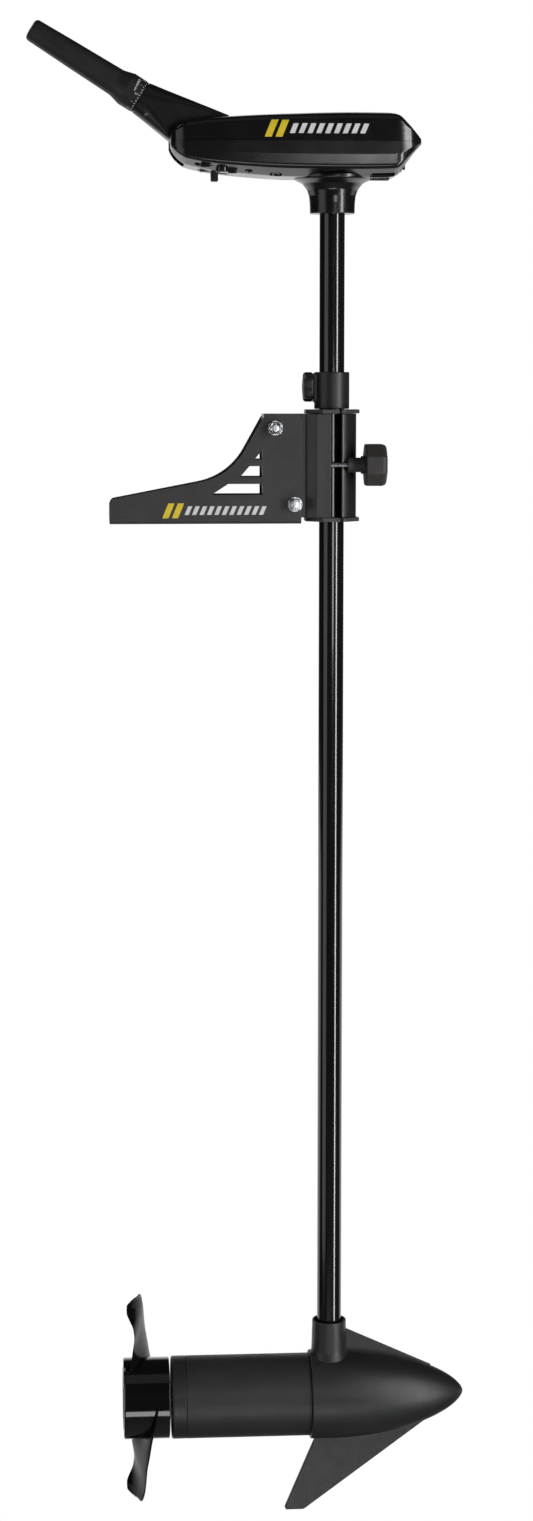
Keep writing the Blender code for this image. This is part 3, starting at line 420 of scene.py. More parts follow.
def bracket():
    low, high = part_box("mount_bracket")
    half_length, height, half = (high.x - low.x) / 2, high.z, high.y
    sheet, bend = 0.0035, 0.005
    section = rounded([
        (-half, height + 0.01), (-half, 0, bend), (half, 0, bend), (half, height + 0.01),
        (half - sheet, height + 0.01), (half - sheet, sheet, bend - sheet),
        (-half + sheet, sheet, bend - sheet), (-half + sheet, height + 0.01)], 6)
    outline = rounded([
        (-half_length, -0.01), (-half_length, 0.0195, 0.003), (-half_length + 0.0022, 0.0247, 0.005),
        (0.0251, 0.0478, 0.067), (0.06, height, 0.008), (half_length, height, 0.008), (half_length, -0.01)],
        12)
    channel = extruded("bracket_body", section, -half_length - 0.01, half_length + 0.01, "X")
    combine(channel, "INTERSECT", extruded("bracket_side", outline, -THROUGH, THROUGH, "Y"))
    right, corner = 0.0573, 0.0006
    windows = (
        [(right, 0.0748), (right, 0.0646), (0.0492, 0.0646)],
        [(right, 0.058), (right, 0.047), (0.0345, 0.047), (0.044, 0.058)],
        [(right, 0.0402), (right, 0.0292), (0.0056, 0.0292), (0.0226, 0.0402)],
    )
    cutters = [extruded("window", rounded([(x, z, corner) for x, z in window]), -THROUGH, THROUGH, "Y")
               for window in windows]
    bolt_hole, deck_hole = 0.0046, 0.0036
    for bolt in (centre("pivot_bolt"), centre("stop_bolt")):
        cutters.append(bore("bolt_way", bolt_hole, -THROUGH, THROUGH, (bolt.x, 0, bolt.z), "Y"))
    for x in (-0.078, 0.03):
        for y in (-0.0115, 0.0115):
            cutters.append(bore("deck_way", deck_hole, -0.01, 0.01, (x, y, 0)))
    cut(channel, *cutters)
    tree = tree_of(channel)
    soften(channel, lambda a, b, angle: angle > radians(50), 0.0005, 3)
    show(channel, "bracket", "bracket_steel", "mount_bracket")
    badge("bracket_badge", tree, -0.044, 0.006, 0.015, 0.105, "bracket")


def thread(name, radius, low, high, at, along):
    """A threaded end, as rings one pitch apart."""
    pitch, depth = 0.00125, 0.0006
    profile = [(0, low)]
    height = low
    while height + pitch < high - 0.0008:
        profile += [(radius - depth, height + pitch * 0.1), (radius, height + pitch * 0.5)]
        height += pitch
    profile += [(radius - depth, height + pitch * 0.1), (radius - 0.0006, high), (0, high)]
    return turned(name, profile, at, along, MEDIUM)


def fastener(prefix, body):
    """A through bolt with its head at the back, and its washer and locking nut at the front."""
    low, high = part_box(prefix + "_bolt")
    middle, radius = centre(prefix + "_bolt"), 0.004
    at, flats, corner = (middle.x, 0, middle.z), 0.0118, 0.0073
    head = high.y - 0.0055
    crown = turned("crown", [(0, head - 0.001), (0.006, head - 0.001), (corner, head + 0.001),
                             (corner, high.y - 0.0008), (0.0056, high.y, 0.0003), (0, high.y)],
                   at, "Y", MEDIUM)
    bolt = extruded(prefix + "_head", hexagon(flats), head, high.y + 0.001, "Y", at)
    combine(bolt, "INTERSECT", crown)
    join(bolt, bore("shank", radius, low.y + 0.012, head + 0.002, at, "Y", MEDIUM),
         thread("thread", radius, low.y, low.y + 0.0125, at, "Y"))
    show(bolt, body, "zinc_steel", prefix + "_bolt")

    low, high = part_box(prefix + "_washer")
    washer = ring(prefix + "_plate", radius + GAP, 0.0074, low.y, high.y, at, "Y", MEDIUM)
    show(washer, body, "zinc_steel", prefix + "_washer")

    low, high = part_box(prefix + "_nut")
    waist = low.y + 0.0026
    nut = extruded(prefix + "_locknut", hexagon(flats), waist - 0.001, high.y, "Y", at)
    combine(nut, "INTERSECT", turned("cone", [(0, waist), (0.0055, waist), (0.0072, waist + 0.0013),
                                              (0.0072, high.y), (0, high.y)], at, "Y", MEDIUM))
    join(nut, turned("collar", [(0, low.y), (0.0051, low.y, 0.0004), (0.0057, low.y + 0.0012, 0.0006),
                                (0.0057, waist + 0.001), (0, waist + 0.001)], at, "Y", MEDIUM))
    cut(nut, bore("nut_way", radius + GAP, low.y - 0.01, high.y + 0.01, at, "Y", MEDIUM))
    show(nut, body, "zinc_steel", prefix + "_nut")


# Clamp

def clamp_outline():
    """The clamp's section about the shaft axis: a split barrel, its front lug and its neck."""
    radius, opening, neck, back = 0.025, 0.0162, 0.0202, -0.07
    slot_left, slot_right, lug = -0.0026, 0.0081, -0.027
    outer = atan2(-(radius**2 - slot_right**2) ** 0.5, slot_right) * 180 / pi
    inner_right = atan2(-(opening**2 - slot_right**2) ** 0.5, slot_right) * 180 / pi
    neck_angle = 180 - atan2(neck, (radius**2 - neck**2) ** 0.5) * 180 / pi
    corners = [(*point, 0) for point in arc((0, 0), radius, outer + 5, neck_angle, 60)]
    corners += [(back, neck, 0.001), (back, -neck, 0.001), (-0.028, -neck, 0.002),
                (-0.0178, lug, 0.0015), (slot_left, lug, 0.0011)]
    corners += [(*point, 0) for point in arc((0, 0), opening, -99.2, inner_right - 360, 60)]
    lip = (slot_right, -(radius**2 - slot_right**2) ** 0.5, 0.0009)
    return rounded(corners + [lip], 5)


def clamp():
    low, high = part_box("clamp")
    at = (SHAFT_X, 0, 0)
    body = extruded("clamp_body", clamp_outline(), low.z, high.z, "Z", at, 0.0004)
    pivot, stop = centre("pivot_bolt"), centre("stop_bolt")
    about, reach = (pivot.x, pivot.z), hypot(stop.x - pivot.x, stop.z - pivot.z)
    start, width = atan2(stop.z - pivot.z, stop.x - pivot.x) * 180 / pi, 0.0066
    slot = arc(about, reach - width, start, -115, 16) + arc(about, reach + width, -115, start, 16)
    screw = centre("tension_knob")
    pinch = (SHAFT_X, screw.y, screw.z)
    cut(body,
        extruded("stop_slot", slot, -THROUGH, THROUGH, "Y"),
        bore("stop_end", width, -THROUGH, THROUGH, (stop.x, 0, stop.z), "Y"),
        bore("pivot_way", width, -THROUGH, THROUGH, (pivot.x, 0, pivot.z), "Y"),
        bore("pinch_way", 0.0034, -0.014, 0.03, pinch, "X"),
        bore("pinch_seat", 0.0084, 0.0142, 0.04, pinch, "X", MEDIUM),
        block("pinch_pocket", (SHAFT_X - 0.0165, screw.y - 0.0043, screw.z - 0.0052),
              (SHAFT_X - 0.01, screw.y + 0.0052, screw.z + 0.0052)))
    show(body, "clamp", "clamp_alloy", "clamp")

    low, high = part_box("tension_bolt")
    bolt = block("pinch_bolt", (SHAFT_X - 0.016, screw.y - 0.004, low.z),
                 (SHAFT_X - 0.012, high.y, high.z), 0.0005, 0.0005, "X")
    shank = thread("pinch_thread", 0.003, SHAFT_X - 0.013, high.x, (0, screw.y, screw.z), "X")
    show(shank, "clamp", "zinc_steel")
    show(bolt, "clamp", "zinc_steel", "tension_bolt")

    for node, way in (("upper_bushing", 1), ("lower_bushing", -1)):
        low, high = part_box(node)
        inner, sleeve, reach, thick = 0.013, 0.0159, 0.0295, 0.004
        base, rim = (high.z - thick, high.z) if way > 0 else (low.z + thick, low.z)
        profile = [(inner, base - way * 0.03), (sleeve, base - way * 0.03), (sleeve, base + way * 0.002),
                   (inner, base + way * 0.002)]
        bush = turned(node + "_liner", profile, at)
        corners = [(x, y, 0.0012) for x, y in arc((0, 0), reach, 22.5, 337.5, 7)]
        flange = extruded("flange", rounded(corners), min(base, rim), max(base, rim), "Z", at, 0.0006)
        cut(flange, bore("flange_way", inner + 0.001, -0.2, 0.4, at, sides=FINE))
        join(bush, flange)
        ends = sorted((base - way * 0.031, base - way * 0.0005))
        cut(bush, block("window", (SHAFT_X - 0.0045, -0.04, ends[0]), (SHAFT_X + 0.0095, 0, ends[1])))
        cut(bush, block("split", (SHAFT_X + 0.0058, -0.04, rim - 0.04), (SHAFT_X + 0.0078, 0, rim + 0.04)))
        show(bush, "clamp", "nylon", node)

    low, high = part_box("pivot_bushing")
    liner = ring("pivot_liner", 0.0043, 0.0063, low.y, high.y, (pivot.x, 0, pivot.z), "Y", MEDIUM,
                 0.0002, 0.0002)
    show(liner, "clamp", "nylon", "pivot_bushing")


def tension_knob():
    screw = centre("tension_knob")
    at = (SHAFT_X, screw.y, screw.z)
    low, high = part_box("tension_knob")
    face, head, tip = low.x - SHAFT_X, 0.0318, high.x - SHAFT_X - 0.002
    knob = turned("knob_stem", [(0.0034, face), (0.0075, face, 0.0004), (0.0073, 0.028),
                                (0.009, 0.028, 0.0003), (0.009, head + 0.003), (0.0034, head + 0.003)],
                  at, "X", MEDIUM)
    levels = [(head, 0.0212), (head + 0.0004, 0.0221), (head + 0.0012, 0.0226), (tip - 0.0064, 0.0227),
              (tip - 0.0046, 0.0225), (tip - 0.003, 0.0219), (tip - 0.0017, 0.0209), (tip - 0.0008, 0.0194),
              (tip - 0.0003, 0.0172), (tip, 0.013), (tip + 0.0001, 0.006), (tip + 0.0002, 0.0005)]
    sections = []
    for height, radius in levels:
        corners = [(y, z, radius * 0.1) for y, z in arc((0, 0), radius, 22.5, 337.5, 7)]
        sections.append([Vector(at) + Vector((height, y, z)) for y, z in rounded(corners, 4)])
    join(knob, lofted("knob_head", sections))
    cut(knob, bore("knob_way", 0.0034, 0.01, 0.04, at, "X", MEDIUM))
    show(knob, "tension_knob", "knob_plastic", "tension_knob", sharp=50)


# Depth collar

def lobed(radius, lobes, dip, count):
    """A lobed outline about the origin."""
    points = []
    for i in range(count):
        a = 2 * pi * i / count
        r = radius * (1 - dip * (0.5 - 0.5 * cos(lobes * a)) ** 1.6)
        points.append((r * cos(a), r * sin(a)))
    return points


def depth_collar():
    low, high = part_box("depth_collar")
    knob_z = centre("collar_knob").z
    at = (SHAFT_X, 0, 0)
    inner, outer, edge = 0.013, 0.0178, 0.0011
    collar = turned("collar_ring", [(inner, low.z, 0.0004), (outer, low.z, edge), (outer, high.z, edge),
                                    (inner, high.z, 0.0004)], at)
    pad = block("collar_pad", (low.x, -0.0085, low.z + 0.0066), (SHAFT_X - 0.012, 0.0085, high.z - 0.0012),
                0.0008, 0.0015, "X")
    cut(pad, bore("pad_way", inner + 0.002, 0, 0.3, at, sides=FINE))
    join(collar, pad)
    cut(collar,
        bore("screw_way", 0.005, -0.03, 0, (SHAFT_X, 0, knob_z), "X"),
        bore("pip", 0.0008, -0.02, -0.0165, (SHAFT_X, 0, high.z - 0.006),
             turn=Matrix.Rotation(radians(-112), 4, "Z") @ TOWARDS["X"]))
    show(collar, "depth_collar", "collar_plastic", "depth_collar")

    low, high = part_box("collar_knob")
    face, tip = high.x - SHAFT_X, low.x - SHAFT_X
    levels = [(face, 0.0138), (face - 0.0005, 0.0147), (face - 0.0013, 0.0151), (face - 0.0024, 0.0152),
              (tip + 0.0034, 0.0152), (tip + 0.0018, 0.0149), (tip + 0.0007, 0.0141), (tip + 0.0001, 0.0128),
              (tip, 0.011), (tip + 0.0007, 0.0095), (tip + 0.0009, 0.002)]
    sections = [[(SHAFT_X + height, y, knob_z + z) for y, z in lobed(radius, 5, 0.17, 120)]
                for height, radius in levels]
    knob = lofted("collar_grip", sections)
    cut(knob, bore("grip_way", 0.0033, -0.0262, -0.01, (SHAFT_X, 0, knob_z), "X"))
    show(knob, "collar_knob", "collar_plastic", "collar_knob", sharp=40)


# Control head

HEAD_SPLIT = 0.3776  # height of the parting between housing and cover
SIDE = (0.955, 0.25, 0.991, 0.62)  # chine and flank of most stations
HEAD_STATIONS = (
    # x from the shaft axis, lowest z, top z, half width, then the chine and the flank as shares of
    # the half width and of the height below the parting
    (-0.1632, 0.3720, 0.3830, 0.0330, *SIDE),
    (-0.1615, 0.3680, 0.3875, 0.0383, *SIDE),
    (-0.1565, 0.3615, 0.3925, 0.0430, *SIDE),
    (-0.1470, 0.3550, 0.3975, 0.0462, *SIDE),
    (-0.1070, 0.3478, 0.4022, 0.0490, *SIDE),
    (-0.0400, 0.3434, 0.4055, 0.0500, *SIDE),
    (0.0200, 0.3430, 0.4070, 0.0500, *SIDE),
    (0.0520, 0.3436, 0.4068, 0.0500, 0.950, 0.25, 0.991, 0.62),
    (0.0610, 0.3450, 0.4058, 0.0498, 0.945, 0.24, 0.990, 0.62),
    (0.0735, 0.3600, 0.3945, 0.0468, 0.930, 0.24, 0.990, 0.62),
    (0.0765, 0.3640, 0.3909, 0.0455, 0.930, 0.24, 0.990, 0.62),
    (0.0805, 0.3690, 0.3860, 0.0430, 0.930, 0.25, 0.990, 0.62),
    (0.0848, 0.3740, 0.3805, 0.0390, 0.930, 0.25, 0.990, 0.62),
)
PLUG = Vector((0.07, -0.029))  # the plug in the underside, as (x, y)


def smooth_stations(stations, steps):
    """The stations with more between them, on a curve that doesn't overshoot."""
    xs = [row[0] for row in stations]
    columns = list(zip(*stations))[1:]
    slopes = []
    for column in columns:
        runs = [(column[i + 1] - column[i]) / (xs[i + 1] - xs[i]) for i in range(len(xs) - 1)]
        slope = [runs[0]]
        for before, after in zip(runs, runs[1:]):
            slope.append(2 * before * after / (before + after) if before * after > 0 else 0)
        slopes.append(slope + [runs[-1]])
    found = []
    for i in range(len(xs) - 1):
        width = xs[i + 1] - xs[i]
        for step in range(steps):
            t = step / steps
            row = [xs[i] + width * t]
            for column, slope in zip(columns, slopes):
                row.append(column[i] * (1 + 2 * t) * (1 - t) ** 2 + slope[i] * width * t * (1 - t) ** 2
                           + column[i + 1] * t**2 * (3 - 2 * t) + slope[i + 1] * width * t**2 * (t - 1))
            found.append(tuple(row))
    return found + [stations[-1]]


def head_section(x, low, high, half, chine_y, chine_z, flank_y, flank_z, wall):
    """One section of the head in Y and Z: a flat keel, sloping chines, upright sides and a crowned top."""
    low, high, half = low + wall, high - wall, half - wall
    under, over = HEAD_SPLIT - low, high - HEAD_SPLIT
    side = [
        # keel, chine, flank, parting, shoulder and crown, each with its rounding
        (half * 0.52, low + under * 0.015, under * 0.4),
        (half * chine_y, low + under * chine_z, under * 0.2),
        (half * flank_y, low + under * flank_z, under * 0.2),
        (half, HEAD_SPLIT, 0),
        (half * 0.968, HEAD_SPLIT + over * 0.9, over * 0.3),
        (half * 0.55, high, over * 0.25),
    ]
    corners = side + [(-y, z, radius) for y, z, radius in reversed(side)]
    return [(SHAFT_X + x, y, z) for y, z in rounded(corners, 6)]


def head_body(name, wall):
    """The head's outside, or with a wall its inside, which leaves out the ends."""
    rows = smooth_stations(HEAD_STATIONS[3:-4] if wall else HEAD_STATIONS, 6)
    return lofted(name, [head_section(*row, wall) for row in rows])


def head_shell(name, wall=0.003):
    """The whole head as a thin shell, with solid walls about the tiller's channel."""
    high = channel()[1]
    outer = high.y + wall
    walls = block("walls", (-0.1, -outer, 0.3), (high.x + wall, outer, 0.5))
    cavity = cut(head_body("cavity", wall), walls)
    return cut(head_body(name, 0), cavity)


def channel():
    """The slot that the tiller folds in: its lowest and highest corners."""
    return Vector((-0.1, -0.0172, 0.3563)), Vector((0.041, 0.0172, 0.5))


def cast(tree, start, way):
    """Where a ray meets a surface, and the surface's normal there."""
    found, normal, _, _ = tree.ray_cast(Vector(start), Vector(way))
    return found, normal


def tree_of(thing):
    return BVHTree.FromPolygons([v.co for v in thing.data.vertices], [p.vertices for p in thing.data.polygons])


PRINT_SLOTS = {"shaft": "head_plastic", "bracket": "bracket_steel", "grip": "grip_plastic"}


def printed(name, tree, quads, ray, body, finish):
    """Thin print on a surface. Each quad's (u, v) corners are cast onto the tree by the rays of `ray`."""
    steps, lift = 5, 0.00012
    bm = bmesh.new()
    for quad in quads:
        a, b, c, d = (Vector(corner) for corner in quad)
        skins = []
        for height in (lift, -lift):
            grid = {}
            for i in range(steps + 1):
                for j in range(steps + 1):
                    s, t = i / steps, j / steps
                    spot = (a.lerp(b, s)).lerp(d.lerp(c, s), t)
                    place, normal = cast(tree, *ray(spot))
                    grid[i, j] = bm.verts.new(place + normal * height)
            skins.append(grid)
        top, low = skins
        for i in range(steps):
            for j in range(steps):
                for skin in skins:
                    bm.faces.new((skin[i, j], skin[i + 1, j], skin[i + 1, j + 1], skin[i, j + 1]))
            for j in (0, steps):
                bm.faces.new((top[i, j], top[i + 1, j], low[i + 1, j], low[i, j]))
                bm.faces.new((top[j, i], top[j, i + 1], low[j, i + 1], low[j, i]))
    show(mesh_object(name, bm), body, PRINT_SLOTS[body], finish=finish)


def slanted(left, right, low, high, lean):
    return [(left, low), (right, low), (right + lean, high), (left + lean, high)]


def badge(name, tree, left, low, tall, length, body):
    """A plain mark: two yellow bars and a row of white ones, printed on a face that looks towards -Y."""
    def ray(spot):
        return (spot.x, -0.2, spot.y), (0, 1, 0)

    lean, wide, space = tall * 0.42, tall * 0.42, tall * 0.22
    yellow = [slanted(left + i * (wide + space), left + i * (wide + space) + wide, low, low + tall, lean)
              for i in range(2)]
    start = left + 2 * (wide + space) + space
    count = int((left + length - start) / (wide * 0.62 + space))
    step = (left + length - start) / count
    foot, top = low + tall * 0.22, low + tall * 0.8
    white = [slanted(start + i * step, start + i * step + step - space, foot, top, lean * 0.58)
             for i in range(count)]
    printed(name + "_yellow", tree, yellow, ray, body, "yellow_print")
    printed(name + "_white", tree, white, ray, body, "white_print")


def at_split(a, b):
    return max(abs(a.z - HEAD_SPLIT), abs(b.z - HEAD_SPLIT)) < 0.0003


def latch(tree):
    """The tilt latch under the head: its boss and its two ears on the sloping side, and the lever."""
    def seat(x, y):
        return cast(tree, (x, y, 0.3), (0, 0, 1))[0].z

    x, y = 0.0168, -0.03
    z = seat(x, y)
    boss = turned("latch_boss", [(0, z - 0.0024), (0.0022, z - 0.0024), (0.003, z - 0.0014),
                                 (0.0052, z - 0.0014, 0.0004), (0.0062, z - 0.0026, 0.0004),
                                 (0.0066, z - 0.0016, 0.0004), (0.0066, z + 0.003), (0, z + 0.003)],
                  (x, y, 0), sides=MEDIUM)
    for left, near, right, far in ((-0.0048, -0.0385, 0.005, -0.0335), (0.0225, -0.033, 0.0315, -0.027)):
        across, along = (left + right) / 2, (near + far) / 2
        z = seat(across, along)
        ear = block("latch_ear", (left, near, z - 0.0028), (right, far, z + 0.003), 0.0005, 0.0012)
        cut(ear, block("notch", (left + 0.003, near + 0.0015, z - 0.01),
                       (right - 0.003, far - 0.0015, z - 0.0012)))
        join(boss, ear, block("latch_web", (min(x, across), along - 0.0012, z - 0.0012),
                              (max(x, across), along + 0.0012, z + 0.004)))
    show(boss, "shaft", "head_plastic")

    low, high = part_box("tilt_lever")
    middle = centre("tilt_lever")
    lever = block("latch_lever", (low.x, low.y, high.z - 0.003), high, 0.0005, 0.0008)
    stem = block("lever_stem", (middle.x - 0.0022, low.y + 0.0006, low.z),
                 (middle.x + 0.0052, high.y - 0.0006, high.z - 0.001), 0.0008, 0.0012, "Y")
    grooves = [block("groove", (middle.x - 0.01, low.y - 0.001, low.z + 0.0012 + i * 0.0016),
                     (middle.x - 0.0016, high.y + 0.001, low.z + 0.0019 + i * 0.0016)) for i in range(3)]
    join(lever, cut(stem, *grooves))
    show(lever, "tilt_lever", "tiller_plastic", "tilt_lever")


def head():
    socket_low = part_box("head_housing")[0].z
    at = (SHAFT_X, 0, 0)
    low, high = channel()
    skin = head_body("skin", 0)
    tree = tree_of(skin)
    bpy.data.objects.remove(skin)
    housing = head_shell("housing_shell")
    join(housing, turned("socket", [
        (0, socket_low), (0.0224, socket_low, 0.0008), (0.0228, 0.32, 0.02), (0.0235, 0.3265, 0.01),
        (0.0254, 0.3326, 0.008), (0.0302, 0.3388, 0.006), (0.039, 0.3432, 0.003), (0.039, 0.3465),
        (0.02, 0.356), (0.02, 0.367), (0, 0.367)], at))
    seats, posts, cover_posts, threads = [], [], [], []
    for number in range(6):
        screw_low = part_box(f"cover_screw_{number + 1}")[0]
        middle = centre(f"cover_screw_{number + 1}")
        place = (middle.x, middle.y, 0)
        floor = screw_low.z - 0.0016
        posts.append(bore("post", 0.0055, floor + 0.0018, HEAD_SPLIT + 0.004, place))
        cover_posts.append(bore("cover_post", 0.0055, HEAD_SPLIT - 0.004, 0.41, place))
        threads.append(bore("cover_thread", 0.0018, 0.3, 0.3905, place))
        way = [(0, 0.33), (0.0042, 0.33), (0.0039, floor + 0.0042), (0.0021, floor + 0.0042),
               (0.0021, 0.4), (0, 0.4)]
        seats.append(turned("screw_way", way, place, sides=COARSE))
    join(housing, *posts)
    gland_low, gland_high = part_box("lead_gland")
    pin = centre("tiller_pin")
    plug_floor = cast(tree, (*PLUG, 0.3), (0, 0, 1))[0].z
    plug = [(0, 0.33), (0.0072, 0.33), (0.0062, plug_floor + 0.0008), (0.0062, plug_floor + 0.0018),
            (0.0044, plug_floor + 0.0018), (0.0044, plug_floor + 0.0004), (0.0034, plug_floor + 0.0004),
            (0.0022, plug_floor + 0.0016), (0, plug_floor + 0.0016)]
    vents = [block("vent", (0.164, near, 0.33), (0.1885, far, 0.36), radius=0.003)
             for near, far in ((-0.035, -0.022), (0.022, 0.035))]
    cut(housing,
        block("split", (-0.2, -0.1, HEAD_SPLIT - GAP / 2), (0.3, 0.1, 0.5)),
        block("tiller_channel", low, high),
        bore("socket_way", 0.013, 0.2, 0.3643, at, sides=FINE),
        bore("lead_way", 0.009, 0.2, 0.5, at),
        bore("pin_way", 0.0041, -0.04, 0.04, (pin.x, 0, pin.z), "Y"),
        block("lever_way", (-0.006, -0.007, 0.33), (0.024, 0.007, 0.37), radius=0.0015),
        block("gland_way", (gland_low.x - 0.0004, gland_low.y - 0.0004, 0.33),
              (gland_high.x + 0.0004, gland_high.y + 0.0004, 0.36), radius=0.003),
        turned("plug_recess", plug, (*PLUG, 0), sides=MEDIUM),
        *vents, *seats)
    soften(housing, lambda a, b, angle: angle > radians(40) and at_split(a, b), 0.0006, 2)
    show(housing, "shaft", "head_plastic", "head_housing")

    cover = head_shell("cover_shell")
    stands = join(cover_posts[0], *cover_posts[1:])
    combine(stands, "INTERSECT", head_body("post_limit", 0.001))
    join(cover, stands)
    cut(cover,
        block("split", (-0.2, -0.1, 0.3), (0.3, 0.1, HEAD_SPLIT + GAP / 2)),
        block("tiller_channel", (low.x, low.y, 0.3), high),
        *threads)
    soften(cover, lambda a, b, angle: angle > radians(40) and (
        at_split(a, b)
        or (min(a.z, b.z) > HEAD_SPLIT + 0.001 and abs(a.y - b.y) < 1e-5 and abs(abs(a.y) - high.y) < 1e-5)),
        0.0006, 2)
    show(cover, "shaft", "head_plastic", "head_cover")
    latch(tree)
    badge("head_badge", tree, 0.0575, 0.3808, 0.0165, 0.103, "shaft")


# Tiller

TILLER_ANGLE = radians(31.4)
GRIP_TURN = Matrix.Rotation(-(pi / 2 - TILLER_ANGLE), 4, "Y")
DIGITS = {  # which of seven bars each plain numeral has, from the top clockwise and the middle last
    "0": "1111110", "1": "0110000", "2": "1101101", "3": "1111001", "4": "0110011",
}


def arm():
    """The arm, which turns from a round mouth at the grip into a deep flat lug between the head's walls."""
    pin = centre("tiller_pin")
    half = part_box("tiller_arm")[1].y
    joint_at = Vector(joint("speed_twist")["pos_m"])
    away = Vector((cos(TILLER_ANGLE), 0, -sin(TILLER_ANGLE)))
    across = Vector((sin(TILLER_ANGLE), 0, cos(TILLER_ANGLE)))
    mouth = 0.0168
    roof = joint_at + across * mouth, Vector((pin.x + 0.0235, 0, pin.z + 0.0315))
    sole = joint_at - across * mouth, Vector((-0.033, 0, 0.3792))
    steps, edge = 20, 0.0005
    sections = []
    for i in range(-1, steps + 1):
        t = max(i, 0) / steps
        top, low = roof[0].lerp(roof[1], t), sole[0].lerp(sole[1], t)
        middle, tall = (top + low) / 2, (top - low).length / 2
        width = half * t + mouth * (1 - t)
        radius = mouth * 0.985 * (1 - t) ** 1.15 + 0.0035
        radius = min(radius, width * 0.99, tall * 0.99)
        if i < 0:
            width, tall, radius = width - edge, tall - edge, radius - edge
        upward = (top - low).normalized()
        outline = rounded([(width, tall, radius), (-width, tall, radius), (-width, -tall, radius),
                           (width, -tall, radius)], 12)
        back = away * edge if i == 0 else Vector()
        sections.append([middle + back + upward * z + Vector((0, y, 0)) for y, z in outline])
    piece = lofted("arm_shell", sections)
    inner = [roof[0].lerp(roof[1], 0.86), sole[0].lerp(sole[1], 0.86)]
    lug = [(inner[0].x, inner[0].z - 0.003), (inner[1].x, inner[1].z + 0.003), (sole[1].x, sole[1].z),
           (-0.024, 0.3722)]
    lug += arc((pin.x, pin.z), 0.015, 232, 330, 18)
    lug += [(pin.x + 0.02, pin.z + 0.008), (pin.x + 0.024, pin.z + 0.0262), (roof[1].x, roof[1].z - 0.0006)]
    join(piece, extruded("arm_lug", lug, -half + 0.0001, half - 0.0001, "Y", edge=0.0015))
    screw = centre("arm_screw")
    cut(piece,
        bore("pin_way", 0.0042, -0.03, 0.03, (pin.x, 0, pin.z), "Y"),
        bore("switch_way", 0.0125, -0.045, 0.02, joint_at, sides=MEDIUM, turn=GRIP_TURN),
        turned("screw_way", [(0, -0.022), (0.003, -0.022), (0.0022, -0.0146), (0.0022, -0.01), (0, -0.01)],
               (screw.x, 0, screw.z), "Y", COARSE))
    show(piece, "tiller_arm", "tiller_plastic", "tiller_arm", sharp=28)


def digit(value, left, low, wide, tall, weight):
    """A plain numeral as quads of (u, v), its right edge along u and its top along v."""
    middle, right, top = low + tall / 2, left + wide, low + tall
    bars = [
        (left, right, top - weight, top),
        (right - weight, right, middle, top),
        (right - weight, right, low, middle),
        (left, right, low, low + weight),
        (left, left + weight, low, middle),
        (left, left + weight, middle, top),
        (left, right, middle - weight / 2, middle + weight / 2),
    ]
    return [[(a, c), (b, c), (b, d), (a, d)] for lit, (a, b, c, d) in zip(DIGITS[value], bars) if lit == "1"]


def grip():
    joint_at = Vector(joint("speed_twist")["pos_m"])
    profile = [(0.0034, 0.0004), (0.0163, 0.0004, 0.0004), (0.0168, 0.003, 0.001), (0.017, 0.0165, 0.003),
               (0.0139, 0.028, 0.018), (0.0127, 0.08, 0.05), (0.0113, 0.1272, 0.004), (0.0034, 0.1272)]
    piece = turned("grip_shell", profile, joint_at, turn=GRIP_TURN)
    tree = tree_of(piece)
    show(piece, "grip", "grip_plastic", "tiller_grip")

    def ray(spot):
        """From outside the flare to its axis, by degrees round it and millimetres along it."""
        a = radians(spot.x)
        out = GRIP_TURN @ Vector((cos(a), sin(a), 0))
        return joint_at + GRIP_TURN @ Vector((0, 0, spot.y / 1000)) + out * 0.05, -out

    front = -92  # the side that faces the front, in degrees round the grip from its top
    marks = []
    for i in range(-6, 7):
        at, long = front + i * 11, (1.8 if i % 3 == 0 else 1.0)
        marks.append([(at - 0.9, 1.5), (at + 0.9, 1.5), (at + 0.9, 1.5 + long), (at - 0.9, 1.5 + long)])
        if i % 3 == 0:
            marks += digit(str(abs(i) // 3), at - 2.6, 4.4, 5.2, 2.6, 0.55)
    for i in range(8):
        at, long = front + 6 + i * 6.5, 1.2 + i * 0.25
        marks.append([(at, 8.2), (at + 3.2, 8.2), (at + 4.4, 8.2 + long), (at + 1.2, 8.2 + long)])
    printed("dial_print", tree, marks, ray, "grip", "white_print")


# Shaft and motor

def shaft():
    low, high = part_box("shaft_tube")
    outer, wall = (high.x - low.x) / 2, 0.002
    tube = ring("shaft_skin", outer - wall, outer, low.z, high.z, (SHAFT_X, 0, 0))
    show(tube, "shaft", "shaft_composite", "shaft_tube")


